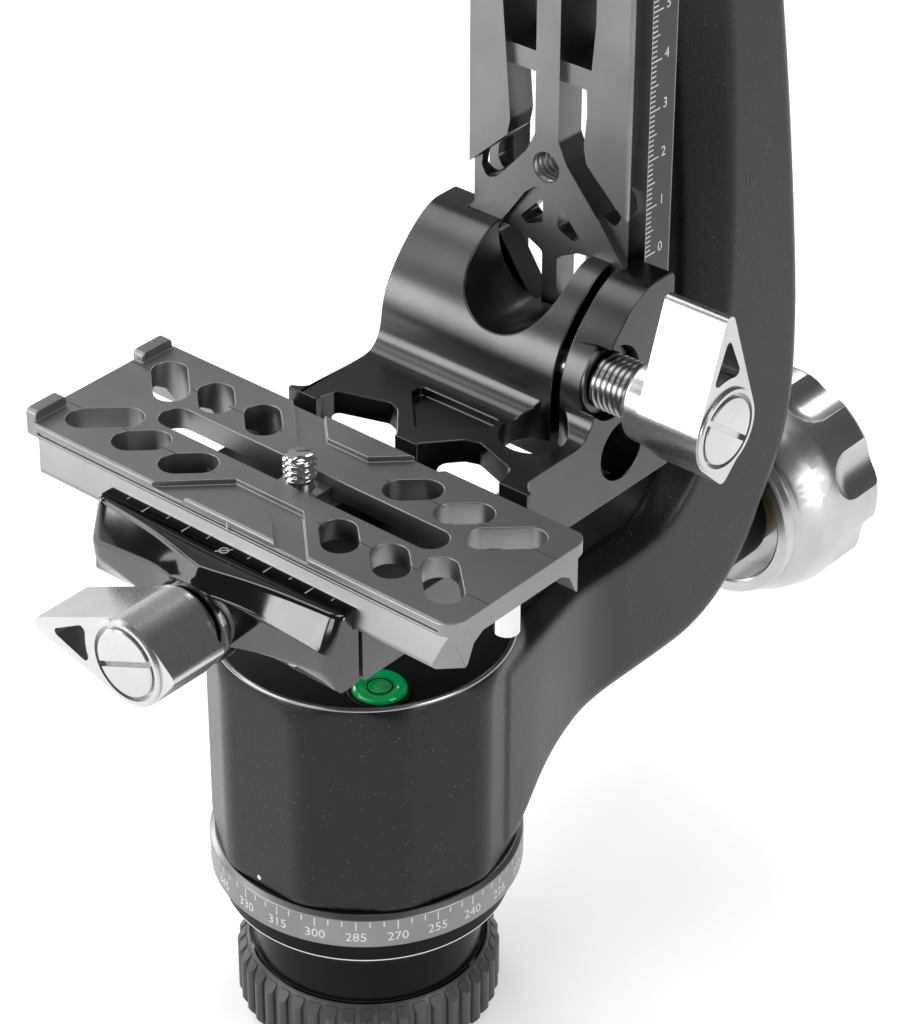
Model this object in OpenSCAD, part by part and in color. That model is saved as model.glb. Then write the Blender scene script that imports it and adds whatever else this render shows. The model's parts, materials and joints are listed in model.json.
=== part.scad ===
// Gimbal tripod head: pan base, L-shaped arm, swing rail, sliding platform,
// dovetail clamp and quick-release plate.
// Frame: origin at the centre of the flat bottom face, on the pan axis.
// +X along the long axis of the quick-release plate, +Y towards the arm, +Z up.

/* [Base] */
// Height of the base below the degree ring
base_h = 34; // [30:0.5:40]
// Outer radius of the degree ring
ring_r = 30.8; // [30.4:0.1:32]
// Height of the degree ring
ring_h = 7.5; // [6:0.1:7.5]
// Outer radius of the ribbed collar, over its ribs
collar_r = 26.3; // [26:0.1:27]
// Number of ribs on the collar
rib_count = 44; // [36:1:48]
// Radius of the tripod socket, 3/8 inch thread
socket_r = 4.76; // [4.7:0.01:4.8]

/* [Pan housing and arm] */
// Radius of the pan housing at its foot
house_r = 30.4; // [30:0.1:30.6]
// Top of the pan housing above the ring's foot
house_top = 55; // [54:0.5:56]
// Number of soft flats around the housing
flat_count = 10; // [10:2:12]
// Height of the tilt axis above the ring's foot
tilt_z = 200; // [200:1:206]
// Height of the pan-lock axis above the ring's foot
lock_z = 24; // [24:0.5:25]

/* [Swing rail] */
// Width of the dovetail
rail_w = 38; // [38:0.1:38.2]
// Front face of the rail, distance from the pan axis
rail_y = 52.5; // [52.5:0.1:52.5]
// Lower end of the rail above the ring's foot
rail_z0 = 78; // [76:1:80]
// Upper end of the rail above the ring's foot
rail_z1 = 226; // [226:1:232]
// Radius of the accessory thread in the rail, 1/4 inch thread
acc_r = 3.175; // [3.1:0.005:3.2]

/* [Platform] */
// Half width of the platform bracket
plat_hw = 26.5; // [26.5:0.1:27]
// Upper face of the platform above the ring's foot
plat_z = 89; // [89:0.5:89]
// Radius of the notch that clears the hub cap
notch_r = 11; // [11:0.1:11.3]

/* [Quick-release plate] */
// Length of the plate
qr_l = 104.2; // [100:0.5:108]
// Upper face of the plate above the ring's foot
qr_z = 94; // [94:0.5:94]
// Middle of the plate along X, it slides in the clamp
qr_x = -0.8; // [-3:0.1:3]
// Middle of the plate along Y
qr_y = -15.6; // [-15.6:0.1:-15.6]
// Radius of the camera screw, 1/4 inch thread
screw_r = 3.175; // [3.1:0.005:3.2]

/* [Knobs] */
// Radius of the two large knobs
knob_r = 24; // [23:0.1:24]
// Number of scallops in a large knob
scallops = 8; // [6:1:10]
// Length of the two lever knobs
lever_l = 17; // [15:0.5:18]
// Reach of a lever knob's wing from its axis
lever_reach = 22; // [20:0.5:23]

/* [Hidden] */
e = 0.02;                       // clearance between fitted, fixed pieces
run = 0.06;                     // running clearance
cap_r = 28.3;
cavity_r = 22;
spin_r = 12.5;
ax_y = 41;                      // rail-clamp screw
jaw_x = -0.9;                   // middle of the front jaw
rl_x = 33.5;                    // inner end of the rail lever
rl_l = lever_l + 2.1;           // its length
ax_z = 98.5;
jx_z = 77.2;                    // jaw screw

// ---------- helpers ----------
function _u(a) = a / norm(a);
function fil(A, B, C, r, n) =
  let (u = _u(A - B), v = _u(C - B), d = max(-0.99999, min(0.99999, u * v)), th = acos(d))
  (r <= 0 || th > 178) ? [B] :
  let (t = r / tan(th / 2), c = B + _u(u + v) * r / sin(th / 2), s = B + u * t, f = B + v * t,
       a0 = atan2(s[1] - c[1], s[0] - c[0]), a1 = atan2(f[1] - c[1], f[0] - c[0]),
       dd = a1 - a0, da = dd > 180 ? dd - 360 : (dd < -180 ? dd + 360 : dd))
  [for (i = [0:n]) c + r * [cos(a0 + da * i / n), sin(a0 + da * i / n)]];
// polygon with rounded corners
function rp(p, r, n = 4) = let (m = len(p))
  [for (i = [0:m - 1]) each fil(p[(i + m - 1) % m], p[i], p[(i + 1) % m], is_list(r) ? r[i] : r, n)];
function mir(p) = [for (i = [len(p) - 1:-1:0]) [-p[i][0], p[i][1]]];
function arc(c, r, a0, a1, n) = [for (i = [0:n]) c + r * [cos(a0 + (a1 - a0) * i / n), sin(a0 + (a1 - a0) * i / n)]];

module up() { translate([0, 0, base_h]) children(); }
// polygon in (Y, Z) extruded along X
module exX(x0, x1, p) { translate([x0, 0, 0]) rotate([90, 0, 90]) linear_extrude(x1 - x0) polygon(p); }
// polygon in (X, Z) extruded along Y
module exY(y0, y1, p) { translate([0, y1, 0]) rotate([90, 0, 0]) linear_extrude(y1 - y0) polygon(p); }
module cyY(x, z, r, y0, y1, n = 48) { translate([x, y0, z]) rotate([-90, 0, 0]) cylinder(r = r, h = y1 - y0, $fn = n); }
module cyX(y, z, r, x0, x1, n = 48) { translate([x0, y, z]) rotate([0, 90, 0]) cylinder(r = r, h = x1 - x0, $fn = n); }
module cyZ(x, y, r, z0, z1, n = 48) { translate([x, y, z0]) cylinder(r = r, h = z1 - z0, $fn = n); }
module tube(r1, r0, z0, z1, n = 64) { difference() { cyZ(0, 0, r1, z0, z1, n); cyZ(0, 0, r0, z0 - 1, z1 + 1, n); } }

// ---------- base ----------
module base_flange() { color("#1c1c1e") up() difference() {
  rotate_extrude($fn = 96) polygon([[0, -base_h], [22.2, -base_h], [23, -base_h + 0.8], [23, -8], [23.6, -7.3], [26.4, -7.3],
    [28.6, -4.9], [28.6, -1.2], [27.7, -0.6], [27.7, 0], [24, 0], [24, 6.4], [0, 6.4]]);
  cyZ(0, 0, 8, -base_h - 1, -18, 48);
  cyZ(0, 0, spin_r + e, -14, 10, 64);
  for (k = [0:2]) rotate(k * 120 + 30) cyZ(26.4, 0, 1.25 + e, -4.2, 1, 24);
} }

module grip_collar() { color("#222222") up() difference() {
  union() {
    rotate_extrude($fn = 96) polygon([[10, -base_h + 0.6], [24.4, -base_h + 0.6], [25.2, -base_h + 1.4], [25.2, -22.3], [24.3, -20.4], [23.9, -20], [10, -20]]);
    intersection() {
      for (k = [0:rib_count - 1]) rotate(k * 360 / rib_count) cyZ(collar_r - 1.25, 0, 1.25, -base_h + 0.9, -20.7, 16);
      rotate_extrude($fn = 96) polygon([[10, -base_h + 0.9], [25.4, -base_h + 0.9], [collar_r + 0.1, -base_h + 2], [collar_r + 0.1, -23], [24.6, -20.7], [10, -20.7]]);
    }
  }
  cyZ(0, 0, 23 + e, -base_h - 1, -19, 96);
} }

module degree_ring() { color("#c9cacc") up() difference() {
  rotate_extrude($fn = 120) polygon([[24 + e, 0.02], [ring_r - 0.3, 0.02], [ring_r, 0.32], [ring_r, ring_h - 0.9], [ring_r - 0.9, ring_h], [24 + e, ring_h]]);
  for (k = [0:2]) rotate(k * 120 + 30) { cyZ(26.4, 0, 1.25 + e, -1, 8, 24); cyZ(26.4, 0, 2.1, 5.2, 9, 24); }
} }

module thread_insert() { color("#b9b9b4") up() difference() {
  union() { cyZ(0, 0, 8 - e, -base_h, -18.02, 48); }
  cyZ(0, 0, socket_r, -base_h - 1, -17, 48);
} }

module ring_screws() { color("#8a8a8a") up() for (k = [0:2]) rotate(k * 120 + 30) difference() {
  union() { cyZ(26.4, 0, 1.25, -4, 5.4, 24); cyZ(26.4, 0, 2, 5.22, 7.1, 24); }
  translate([26.4, 0, 6]) cylinder(r = 1, h = 2, $fn = 6);
} }

module pan_spindle() { color("#9a9da0") up() difference() {
  union() { cyZ(0, 0, spin_r, -13.9, 43, 64); cyZ(0, 0, 9, 42.9, 49.2, 48); }
  cyZ(0, 0, 4, 30, 50, 32);
} }

module spindle_nut() { color("#77787a") up() difference() {
  cyZ(0, 0, 14, 43.1, 48.6, 64);
  cyZ(0, 0, 9 + e, 42, 50, 48);
  for (a = [0:90:270]) rotate(a) translate([12, -1.6, 45.5]) cube([4, 3.2, 5]);
} }

// ---------- arm ----------
// stations of the sweep: inner point (Y, Z), outer point (Y, Z), half width, inner chamfer, outer corner radius
stations = [
  [[9, 54.4], [9, 8.4], 28.4, 4, 1.5], [[14.5, 54.2], [14.5, 9.4], 27.0, 4, 1.6], [[20, 53.8], [19.5, 11.8], 25.6, 4, 1.8],
  [[26, 53.2], [24.5, 14.0], 24.0, 4, 2], [[32, 52.4], [30.5, 15.6], 22.2, 4, 2.2], [[38, 51.6], [37, 16.2], 20.4, 4, 2.4],
  [[44, 50.8], [44, 16.4], 18.8, 4, 2.5], [[50, 50.2], [52, 16.4], 18.0, 4, 2.5], [[57, 50.0], [62, 16.4], 18, 4, 2.5],
  [[63, 50.2], [71, 16.4], 18, 4, 2.5], [[68, 51.4], [79, 16.7], 18, 4.4, 2.5], [[72, 53.8], [85.5, 18.2], 18, 5, 2.5],
  [[75.4, 57.2], [91, 20.8], 18, 5.6, 2.5], [[78.2, 61.8], [96, 24.8], 18, 6.2, 2.5], [[80.2, 67.2], [100.6, 30], 18, 6.8, 2.5],
  [[81.4, 73], [104.6, 36.8], 18, 7.2, 2.5], [[82.2, 79.4], [108.8, 44], 18, 7.4, 2.5], [[82.6, 86], [111.9, 51], 18, 7.4, 2.5],
  [[82.7, 93], [113.6, 60], 18, 7.4, 2.5], [[82.6, 100], [113.8, 71], 18, 7.4, 2.5], [[82.2, 108], [113.1, 84], 18, 7.4, 2.5],
  [[81.4, 118], [111.4, 99], 18, 7.4, 2.5], [[80.2, 130], [109.1, 116], 18, 7.4, 2.5], [[78.6, 143], [106.2, 135], 18, 7.4, 2.5],
  [[76.6, 155], [103.2, 152], 18, 7.4, 2.5], [[74.2, 166], [100.4, 166], 18.2, 7, 2.5], [[71.8, 176], [98.2, 176], 19.2, 5, 2.2],
  [[70.4, 184], [97.3, 184], 20.6, 3, 1.8], [[70, 192], [97, 192], 22, 2, 1.5]];
function station_ring(s) = let (a = s[0], b = s[1], c = (a + b) / 2, v = _u(a - b), h = norm(a - b) / 2, w = s[2], k = s[3],
    q = rp([[-w, -h], [w, -h], [w, h - k], [w - 1.1 * k, h], [-w + 1.1 * k, h], [-w, h - k]], [s[4], s[4], 1.2, 1.2, 1.2, 1.2], 3))
  [for (p = q) [p[0], c[0] + v[0] * p[1], c[1] + v[1] * p[1]]];
module arm_sweep() {
  m = len(stations); rings = [for (s = stations) station_ring(s)]; n = len(rings[0]);
  polyhedron(points = [for (r = rings) each r],
    faces = concat([for (i = [1:n - 2]) [0, i + 1, i]], [for (i = [1:n - 2]) [(m - 1) * n, (m - 1) * n + i, (m - 1) * n + i + 1]],
      [for (j = [0:m - 2], i = [0:n - 1]) [j * n + i, (j + 1) * n + (i + 1) % n, (j + 1) * n + i]],
      [for (j = [0:m - 2], i = [0:n - 1]) [j * n + i, j * n + (i + 1) % n, (j + 1) * n + (i + 1) % n]]), convexity = 6);
}
module housing() {
  intersection() {
    rotate_extrude($fn = 96) polygon([[0, ring_h + 0.25], [house_r - 0.5, ring_h + 0.25], [house_r, ring_h + 0.8], [house_r, house_top - 4.4], [house_r - 0.25, house_top - 2.4], [29.6, house_top - 0.9], [28.9, house_top], [0, house_top]]);
    linear_extrude(house_top + 1) polygon([for (i = [0:flat_count - 1]) let (a = i * 360 / flat_count) 29.7 / cos(180 / flat_count) * [cos(a), sin(a)]]);
  }
}
module arm_casting() { color("#262627") up() difference() {
  union() {
    housing();
    arm_sweep();
    cyY(0, tilt_z, 27, 70, 97, 96);
    cyY(0, lock_z, 12, 84, 116, 64);
  }
  cyZ(0, 0, cavity_r, 0, 51, 96);
  cyZ(0, 0, cap_r + e, 50, 60, 96);
  cyY(0, lock_z, 4 + run, 0, 120, 32);
  cyY(0, lock_z, 5 + run, 0, 32, 32);
  cyY(0, tilt_z, 16, 69, 80, 64);
  cyY(0, tilt_z, 12, 79, 90, 64);
  cyY(0, tilt_z, 16, 86.5, 98, 64);
  cyY(0, tilt_z, 30, 97, 110, 96);
  for (k = [0:3]) translate([18.6 * cos(45 + 90 * k), 0, tilt_z + 18.6 * sin(45 + 90 * k)]) cyY(0, 0, 1.25 + e, 92, 98, 24);
} }
module top_cap() { color("#1a1a1b") up() difference() {
  rotate_extrude($fn = 96) polygon([[0, 50.02], [cap_r, 50.02], [cap_r, 52.4], [cap_r - 0.8, 53], [0, 53]]);
  cyZ(15.6, -13.1, 6.2 + e, 48, 55, 48);
} }
module level_cup() { color("#202021") up() difference() {
  cyZ(15.6, -13.1, 6.2, 50.02, 53.4, 48);
  cyZ(15.6, -13.1, 5.2 + e, 50.6, 55, 48);
} }
module level_vial() { color([0.1, 0.65, 0.3, 0.7]) up() rotate([0, 0, 0]) translate([15.6, -13.1, 0])
  rotate_extrude($fn = 48) polygon([[0, 50.64], [5.2, 50.64], [5.2, 53.5], [4.6, 54.0], [3.2, 54.4], [0, 54.6]]); }

module race(ro, ri, h) { rotate_extrude($fn = 64) polygon([[ri, 0.4], [ri + 0.4, 0], [ro - 0.4, 0], [ro, 0.4], [ro, h - 0.4], [ro - 0.4, h], [ro - 1.6, h],
  [ro - 1.6, h - 0.5], [ri + 1.6, h - 0.5], [ri + 1.6, h], [ri + 0.4, h], [ri, h - 0.4]]); }
module pan_bearing_lower() { color("#a8a9ab") up() translate([0, 0, 9]) race(cavity_r - e, spin_r + run, 9); }
module pan_bearing_upper() { color("#a8a9ab") up() translate([0, 0, 32.5]) race(cavity_r - e, spin_r + run, 9); }
module tilt_bearing_front() { color("#a8a9ab") up() translate([0, 71, tilt_z]) rotate([-90, 0, 0]) race(16 - e, 8 + run, 8); }
module tilt_bearing_rear() { color("#a8a9ab") up() translate([0, 87.5, tilt_z]) rotate([-90, 0, 0]) race(16 - e, 8 + run, 8); }
module bearing_cover() { color("#1f1f20") up() difference() {
  cyY(0, tilt_z, 22, 97.02, 99.4, 96);
  cyY(0, tilt_z, 7, 96, 101, 48);
  for (k = [0:3]) translate([18.6 * cos(45 + 90 * k), 0, tilt_z + 18.6 * sin(45 + 90 * k)]) { cyY(0, 0, 1.25 + e, 96, 101, 24); cyY(0, 0, 2.5, 98, 101, 24); }
} }
module cover_screws() { color("#8a8a8a") up() for (k = [0:3]) translate([18.6 * cos(45 + 90 * k), 0, tilt_z + 18.6 * sin(45 + 90 * k)]) difference() {
  union() { cyY(0, 0, 1.25, 92.4, 98.5, 24); cyY(0, 0, 2.3, 98.02, 99.3, 24); }
  translate([0, 98.7, 0]) rotate([-90, 0, 0]) cylinder(r = 1.2, h = 2, $fn = 6);
} }

// ---------- pan lock ----------
module big_knob(bore) {
  difference() {
    rotate_extrude($fn = 96) polygon([[bore, 9], [16.4, 9], [16.4, 0.5], [16.9, 0], [18.9, 0], [19.4, 0.5], [19.4, 2.6], [18.9, 3.1], [18.9, 3.5], [20.2, 4.4],
      [22.4, 8], [knob_r - 0.4, 12], [knob_r, 14], [knob_r, 26.2], [knob_r - 0.5, 27.4], [knob_r - 1.6, 28.4], [20, 29.1], [12.6, 29.4], [12.3, 29.1], [12.3, 26.6], [bore, 26.6]]);
    for (k = [0:scallops - 1]) rotate((k + 0.5) * 360 / scallops) translate([knob_r + 6.6, 0, 19.5]) { cylinder(r = 9, h = 12, $fn = 48); sphere(r = 9, $fn = 48); }
  }
}
module knob_disc() { rotate_extrude($fn = 64) polygon([[0, 0.02], [12.3 - e, 0.02], [12.3 - e, 2.0], [11.7, 2.5], [9.4, 2.5], [9.0, 2.1], [0, 2.1]]); }
module pan_lock_knob() { color("#c6c5c0") up() translate([0, 112, lock_z]) rotate([-90, 0, 0]) big_knob(4 + e); }
module pan_knob_cap() { color("#b5b4b0") up() translate([0, 138.6, lock_z]) rotate([-90, 0, 0]) knob_disc(); }
module pan_lock_rod() { color("#9a9da0") up() cyY(0, lock_z, 4, 28.4, 138.4, 32); }
module pan_washer() { color("#b08d57") up() difference() { cyY(0, lock_z, 11, 116.1, 120.9, 48); cyY(0, lock_z, 4 + e, 115, 122, 32); } }
module pan_brake_pad() { color("#b08d57") up() cyY(0, lock_z, 5, spin_r + 0.35, 28, 32); }

// ---------- swing arm ----------
module tilt_shaft() { color("#9a9da0") up() { cyY(0, tilt_z, 8, 59.5, 96.9, 48); cyY(0, tilt_z, 6, 96.8, 127.9, 48); } }
module tilt_hub() { color("#2b2b2d") up() difference() {
  union() { cyY(0, tilt_z, 24, rail_y + 13.95, 69.6, 96); cyY(0, tilt_z, 11, 69, 70.9, 48); }
  cyY(0, tilt_z, 8 + e, 60, 80, 48);
  for (k = [0:3]) rotate([0, 0, 0]) translate([16 * cos(45 + 90 * k), 0, tilt_z + 16 * sin(45 + 90 * k)]) cyY(0, 0, 2 + e, 60, 69.1, 24);
} }
// the rail's right half, in (X, Z): long slot, rung across it, sunk faces and the openings in the web below the arch
slot_r = rp([[2.8, 136], [4.8, 131.9], [12.4, 123.2], [15.6, 121.9], [16.9, 124.2], [16.6, 127], [9.5, 133.6], [8.8, 137], [11, 162], [11, 173], [2.8, 173]], [2, 1.5, 1.2, 1.2, 1.2, 1.2, 2, 3, 3, 2, 2], 4);
rung = [[0, 147.8], [12, 147.8], [12, 152], [0, 152]];
sunk_out = [[16.9, 126.8], [20, 123.8], [20, 113.6], [12.7, 123]];
arch_in = rp([[0, 125.3], [2.6, 125], [5, 123], [19, 103.2], [19, 76], [0, 76]], [0, 1.5, 1.5, 0, 0, 0], 3);
web_tri = rp([[1.8, 117], [1.8, 122.4], [7.2, 116.6], [5.6, 115.4]], [0.8, 0.4, 0.4, 1], 3);
web_low = rp([[1.8, 100], [1.8, 110.9], [6.9, 113.4], [11.4, 113.8], [12.6, 111.6], [3.6, 98.4]], [0.6, 1.2, 1.5, 1, 1, 1], 3);
web_foot = rp([[1.8, 84], [1.8, 95.6], [13, 95.6], [13, 84]], 1.5, 3);
module cut2(y0, y1, p) { exY(y0, y1, p); exY(y0, y1, mir(p)); }
module swing_rail() { color("#59595b") up() difference() {
  translate([0, 0, rail_z0]) linear_extrude(rail_z1 - rail_z0) polygon([[-rail_w / 2, rail_y + 0.3], [-rail_w / 2 + 0.3, rail_y], [rail_w / 2 - 0.3, rail_y], [rail_w / 2, rail_y + 0.3],
    [rail_w / 2, rail_y + 1.2], [15.2, rail_y + 5], [15.2, rail_y + 6.3], [rail_w / 2, rail_y + 6.3], [rail_w / 2, rail_y + 13.9],
    [-rail_w / 2, rail_y + 13.9], [-rail_w / 2, rail_y + 6.3], [-15.2, rail_y + 6.3], [-15.2, rail_y + 5], [-rail_w / 2, rail_y + 1.2]]);
  // open behind the front layer, between the side bars
  translate([-15.2, rail_y + 6.8, rail_z0 + 6]) cube([30.4, 20, 62.5]);
  difference() { cut2(rail_y - 1, rail_y + 9, slot_r); translate([-12, rail_y + 1.5, 147.8]) cube([24, 12, 4.2]); }
  cut2(rail_y - 1, rail_y + 1.5, sunk_out);
  cut2(rail_y - 1, rail_y + 1.5, arch_in);
  cut2(rail_y - 1, rail_y + 9, web_tri);
  cut2(rail_y - 1, rail_y + 9, web_low);
  cut2(rail_y - 1, rail_y + 9, web_foot);
  cyY(0, 129.8, acc_r, rail_y - 1, rail_y + 15, 48);
  cyY(0, tilt_z, 8 + e, rail_y - 1, rail_y + 15, 48);
  for (k = [0:3]) translate([16 * cos(45 + 90 * k), 0, tilt_z + 16 * sin(45 + 90 * k)]) { cyY(0, 0, 2 + e, rail_y - 1, rail_y + 15, 24); cyY(0, 0, 4, rail_y - 1, rail_y + 3.6, 32); }
} }
module hub_cap() { color("#b9b9bb") up() rotate([0, 0, 0]) translate([0, rail_y - 3, tilt_z]) rotate([-90, 0, 0])
  rotate_extrude($fn = 64) polygon([[0, 0], [8.6, 0], [9.8, 0.5], [10.4, 1.4], [10.4, 2.98], [8, 2.98], [8, 9.3], [0, 9.3]]); }
module hub_screws() { color("#8a8a8a") up() for (k = [0:3]) translate([16 * cos(45 + 90 * k), 0, tilt_z + 16 * sin(45 + 90 * k)]) difference() {
  union() { cyY(0, 0, 2, rail_y + 3, 69, 24); cyY(0, 0, 3.8, rail_y + 0.2, rail_y + 3.58, 32); }
  translate([0, rail_y - 0.5, 0]) rotate([-90, 0, 0]) cylinder(r = 1.8, h = 2.6, $fn = 6);
} }

// ---------- tilt lock ----------
module tilt_lock_knob() { color("#c6c5c0") up() translate([0, 101.5, tilt_z]) rotate([-90, 0, 0]) big_knob(6 + run); }
module tilt_knob_cap() { color("#b5b4b0") up() translate([0, 128.1, tilt_z]) rotate([-90, 0, 0]) knob_disc(); }
module tilt_washer() { color("#b08d57") up() difference() { cyY(0, tilt_z, 12, 99.5, 110.4, 48); cyY(0, tilt_z, 6 + run, 98, 112, 48); } }

// ---------- platform ----------
hump = rp([[58.5, 72.6], [58.5, 115], [49.6, 115], [43.6, 110.4], [37.6, 104.4], [35.3, 98], [35, 92.4], [30.8, plat_z], [12.1, plat_z], [12.1, 66.6], [13.1, 66.6], [20.5, 72.6]],
  [1.2, 1.5, 3, 5, 4, 3, 2.2, 2.2, 0.5, 0, 0, 2], 7);
flare = concat([[-29.6, 12.1], [-29.6, 12.9]], [for (a = [0:4]) [-30.9 + 4.5 * sin(18 * a + 18), 17.4 - 4.4 * cos(18 * a + 18)]], [[-26.4, 22]]);
win = rp([[-22.6, 13.4], [-21.4, 17], [-11.2, 20.4], [-8.4, 19.4], [-2.6, 12.6], [-2.6, 13.4 - 2.9], [-22.6, 10.5]], [1.5, 2, 1.5, 1.8, 1, 0.5, 0.5], 4);
tri = rp([[-10.2, 28.8], [8.8, 28.8], [9.2, 26.2], [0.2, 17], [-1.6, 17], [-10.4, 26.2]], [0.8, 0.8, 0.8, 1, 1, 0.8], 4);
module platform_bracket() { color("#3b3b3d") up() difference() {
  union() {
    difference() {
      union() {
        exX(-plat_hw, plat_hw, hump);
        // the platform flares out towards the clamp
        translate([0, 0, 74]) linear_extrude(plat_z - 74) polygon(concat(flare, mir(flare)));
      }
      // hollow under the platform's top plate
      exX(-23.7, 23.7, rp([[15.5, 60], [15.5, 84], [44, 84], [44, 60]], [0, 1.5, 4, 0], 3));
    }
    translate([-20, -28, 66.6]) cube([40, 43.6, 5.4]);
  }
  // window in the far flange, cut-outs and pocket in the top plate
  exX(-30, -23, rp([[18, 60], [18, 83.4], [38, 83.4], [38, 60]], [0, 2, 3, 0], 3));
  translate([0, 0, 80]) linear_extrude(12) polygon(win);
  translate([0, 0, 80]) linear_extrude(12) polygon(mir(win));
  translate([0, 0, plat_z - 1.8]) linear_extrude(3) polygon(tri);
  // dovetail channel for the rail
  translate([0, 0, 60]) linear_extrude(70) polygon([[-19.1, 52.42], [19.1, 52.42], [19.1, 53.74], [15.3, 57.54], [15.3, 60], [-15.3, 60], [-15.3, 57.54], [-19.1, 53.74]]);
  // notch that clears the hub cap
  cyY(0, 112.2, notch_r, 20, 70, 64);
  translate([-notch_r, 20, 112.2]) cube([2 * notch_r, 50, 10]);
  // flex slit and its relief bore
  translate([15.9, 26, 74]) cube([1.9, 40, 50]);
  cyZ(17, 29, 6.4, 70, 100.5, 48);
  // clamp screw, its recess and the lightening bore
  cyX(ax_y, ax_z, 3.5 + run, 6, 40, 32);
  cyX(ax_y, ax_z, 7.4, 23.4, 30, 48);
  cyX(43.8, 82.6, 6.2, 18, 30, 48);
  // clamp screws
  for (x = [-11, 11]) { cyZ(x, -8, 2.5 + e, 60, 75, 32); cyZ(x, -8, 4.5, 60, 69.6, 32); }
} }
module clamp_base() { color("#4a4a4c") up() difference() {
  exX(-29.4, 29.4, rp([[-32.8, 72.02], [12, 72.02], [12, 84.6], [8.4, 88], [2.61, 88], [3.6, 85.3], [3.6, 83.97], [-9, 83.97], [-9.6, 82.9], [-21.6, 82.9], [-22.2, 83.97], [-32.8, 83.97]],
    [0.8, 0.8, 1, 0.6, 0.4, 0, 0, 0, 0, 0, 0, 0.5], 3));
  cyY(jaw_x, jx_z, 3 + run, -40, -8, 32);
  for (x = [-20, 20]) cyY(jaw_x + x, jx_z, 2.5 + e, -40, -17.9, 32);
  for (x = [-11, 11]) cyZ(x, -8, 2.5 + e, 70, 81, 32);
} }
module clamp_screws() { color("#8a8a8a") up() for (x = [-11, 11]) difference() {
  union() { cyZ(x, -8, 2.5, 69, 80.8, 32); cyZ(x, -8, 4.3, 66.8, 69.58, 32); }
  translate([x, -8, 66]) cylinder(r = 2.3, h = 2.6, $fn = 6);
} }
module guide_pins() { color("#b4b6b8") up() for (x = [-20, 20]) cyY(jaw_x + x, jx_z, 2.5, -40.4, -18, 32); }

// ---------- lever knobs ----------
function tear(R, d1, r1, d2, r2) = let (a1 = acos((R - r1) / d1), a2 = acos((R - r2) / d2))
  concat(arc([d1, 0], r1, -a1, a1, 6), arc([0, 0], R, a1 + 4, 176 - a2, 10), arc([-d2, 0], r2, 180 - a2, 180 + a2, 5), arc([0, 0], R, 184 + a2, 356 - a1, 10));
module lever_knob(l, wing) {
  difference() {
    union() {
      translate([0, 0, wing]) linear_extrude(l - wing) polygon(tear(8.8, lever_reach, 1.5, 10, 1.5));
      rotate_extrude($fn = 64) polygon([[0, 0], [7.2, 0], [8.4, 1.2], [8.4, wing + 0.5], [0, wing + 0.5]]);
    }
    translate([0, 0, wing - 1]) linear_extrude(l + 2) polygon(rp(concat(arc([0, 0], 10.4, -26, 26, 6), [[19.4, 0]]), [1, 0, 0, 0, 0, 0, 1, 0.8], 3));
    translate([0, 0, l - 1.3]) cylinder(r = 7.4, h = 3, $fn = 64);
    translate([0, 0, -1]) cylinder(r = 3 + e, h = l, $fn = 32);
  }
}
module lever_cap(turn) { rotate(turn) difference() {
  union() { cylinder(r = 6.7, h = 1.2, $fn = 64); translate([0, 0, 1.19]) cylinder(r1 = 6.7, r2 = 6.4, h = 0.3, $fn = 64); }
  translate([-5.2, -0.75, 0.8]) cube([10.4, 1.5, 2]);
} }
module at_rail(x) { translate([x, ax_y, ax_z]) rotate([0, 90, 0]) rotate([0, 0, 180]) children(); }
module rail_lever() { color("#c4c4c2") up() at_rail(rl_x) lever_knob(rl_l, 4.7); }
module rail_lever_cap() { color("#cfcfcd") up() at_rail(rl_x + rl_l - 1.28) lever_cap(53); }
module rail_lever_stud() { color("#a9abad") up() { cyX(ax_y, ax_z, 3.5, 7, 24.7, 32); cyX(ax_y, ax_z, 5.6, 24.6, rl_x - 0.02, 48); cyX(ax_y, ax_z, 3, 33, rl_x + rl_l - 2.2, 32); } }
module rail_lever_washer() { color("#3a3a3a") up() difference() { cyX(ax_y, ax_z, 6.9, 23.42, 24.5, 48); cyX(ax_y, ax_z, 3.5 + run, 20, 30, 32); } }

// ---------- front jaw ----------
jaw_in = [[-33.81, 88], [-34.8, 85.3], [-34.8, 83.9], [-33.3, 83.9], [-33.3, 72.2], [-37, 72.2], [-37, 88]];
jaw_bar = [[-35.6, 88], [-38.7, 87.3], [-39.4, 86.4], [-41, 80.2], [-40.4, 75.4], [-39.2, 73.2], [-37.6, 72.2], [-35.6, 72.2]];
module front_jaw() { color("#2e2e30") up() translate([jaw_x, 0, 0]) difference() {
  union() {
    exX(-30, 30, jaw_in);
    // the front is drawn out to the boss of the clamp screw
    hull() {
      exX(-28, 28, jaw_bar);
      exX(-30, 30, [[-35.6, 88], [-37.2, 87.3], [-39, 80.2], [-37.6, 73.2], [-35.6, 72.2]]);
      cyY(0, jx_z, 8.6, -44.9, -43, 64);
    }
  }
  cyY(0, jx_z, 3 + run, -50, -30, 32);
  for (x = [-20, 20]) cyY(x, jx_z, 2.5 + run, -40.8, -30, 32);
} }
module at_jaw(y) { translate([jaw_x, y, jx_z]) rotate([90, 0, 0]) rotate([0, 0, 180]) children(); }
module jaw_lever() { color("#c4c4c2") up() at_jaw(-45.3) rotate(5) lever_knob(lever_l - 1, 2.8); }
module jaw_lever_cap() { color("#cfcfcd") up() at_jaw(-45.3 - lever_l + 1 + 1.28) lever_cap(23); }
module jaw_lever_stud() { color("#a9abad") up() cyY(jaw_x, jx_z, 3, -45.3 - lever_l + 3.2, -12, 32); }

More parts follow.
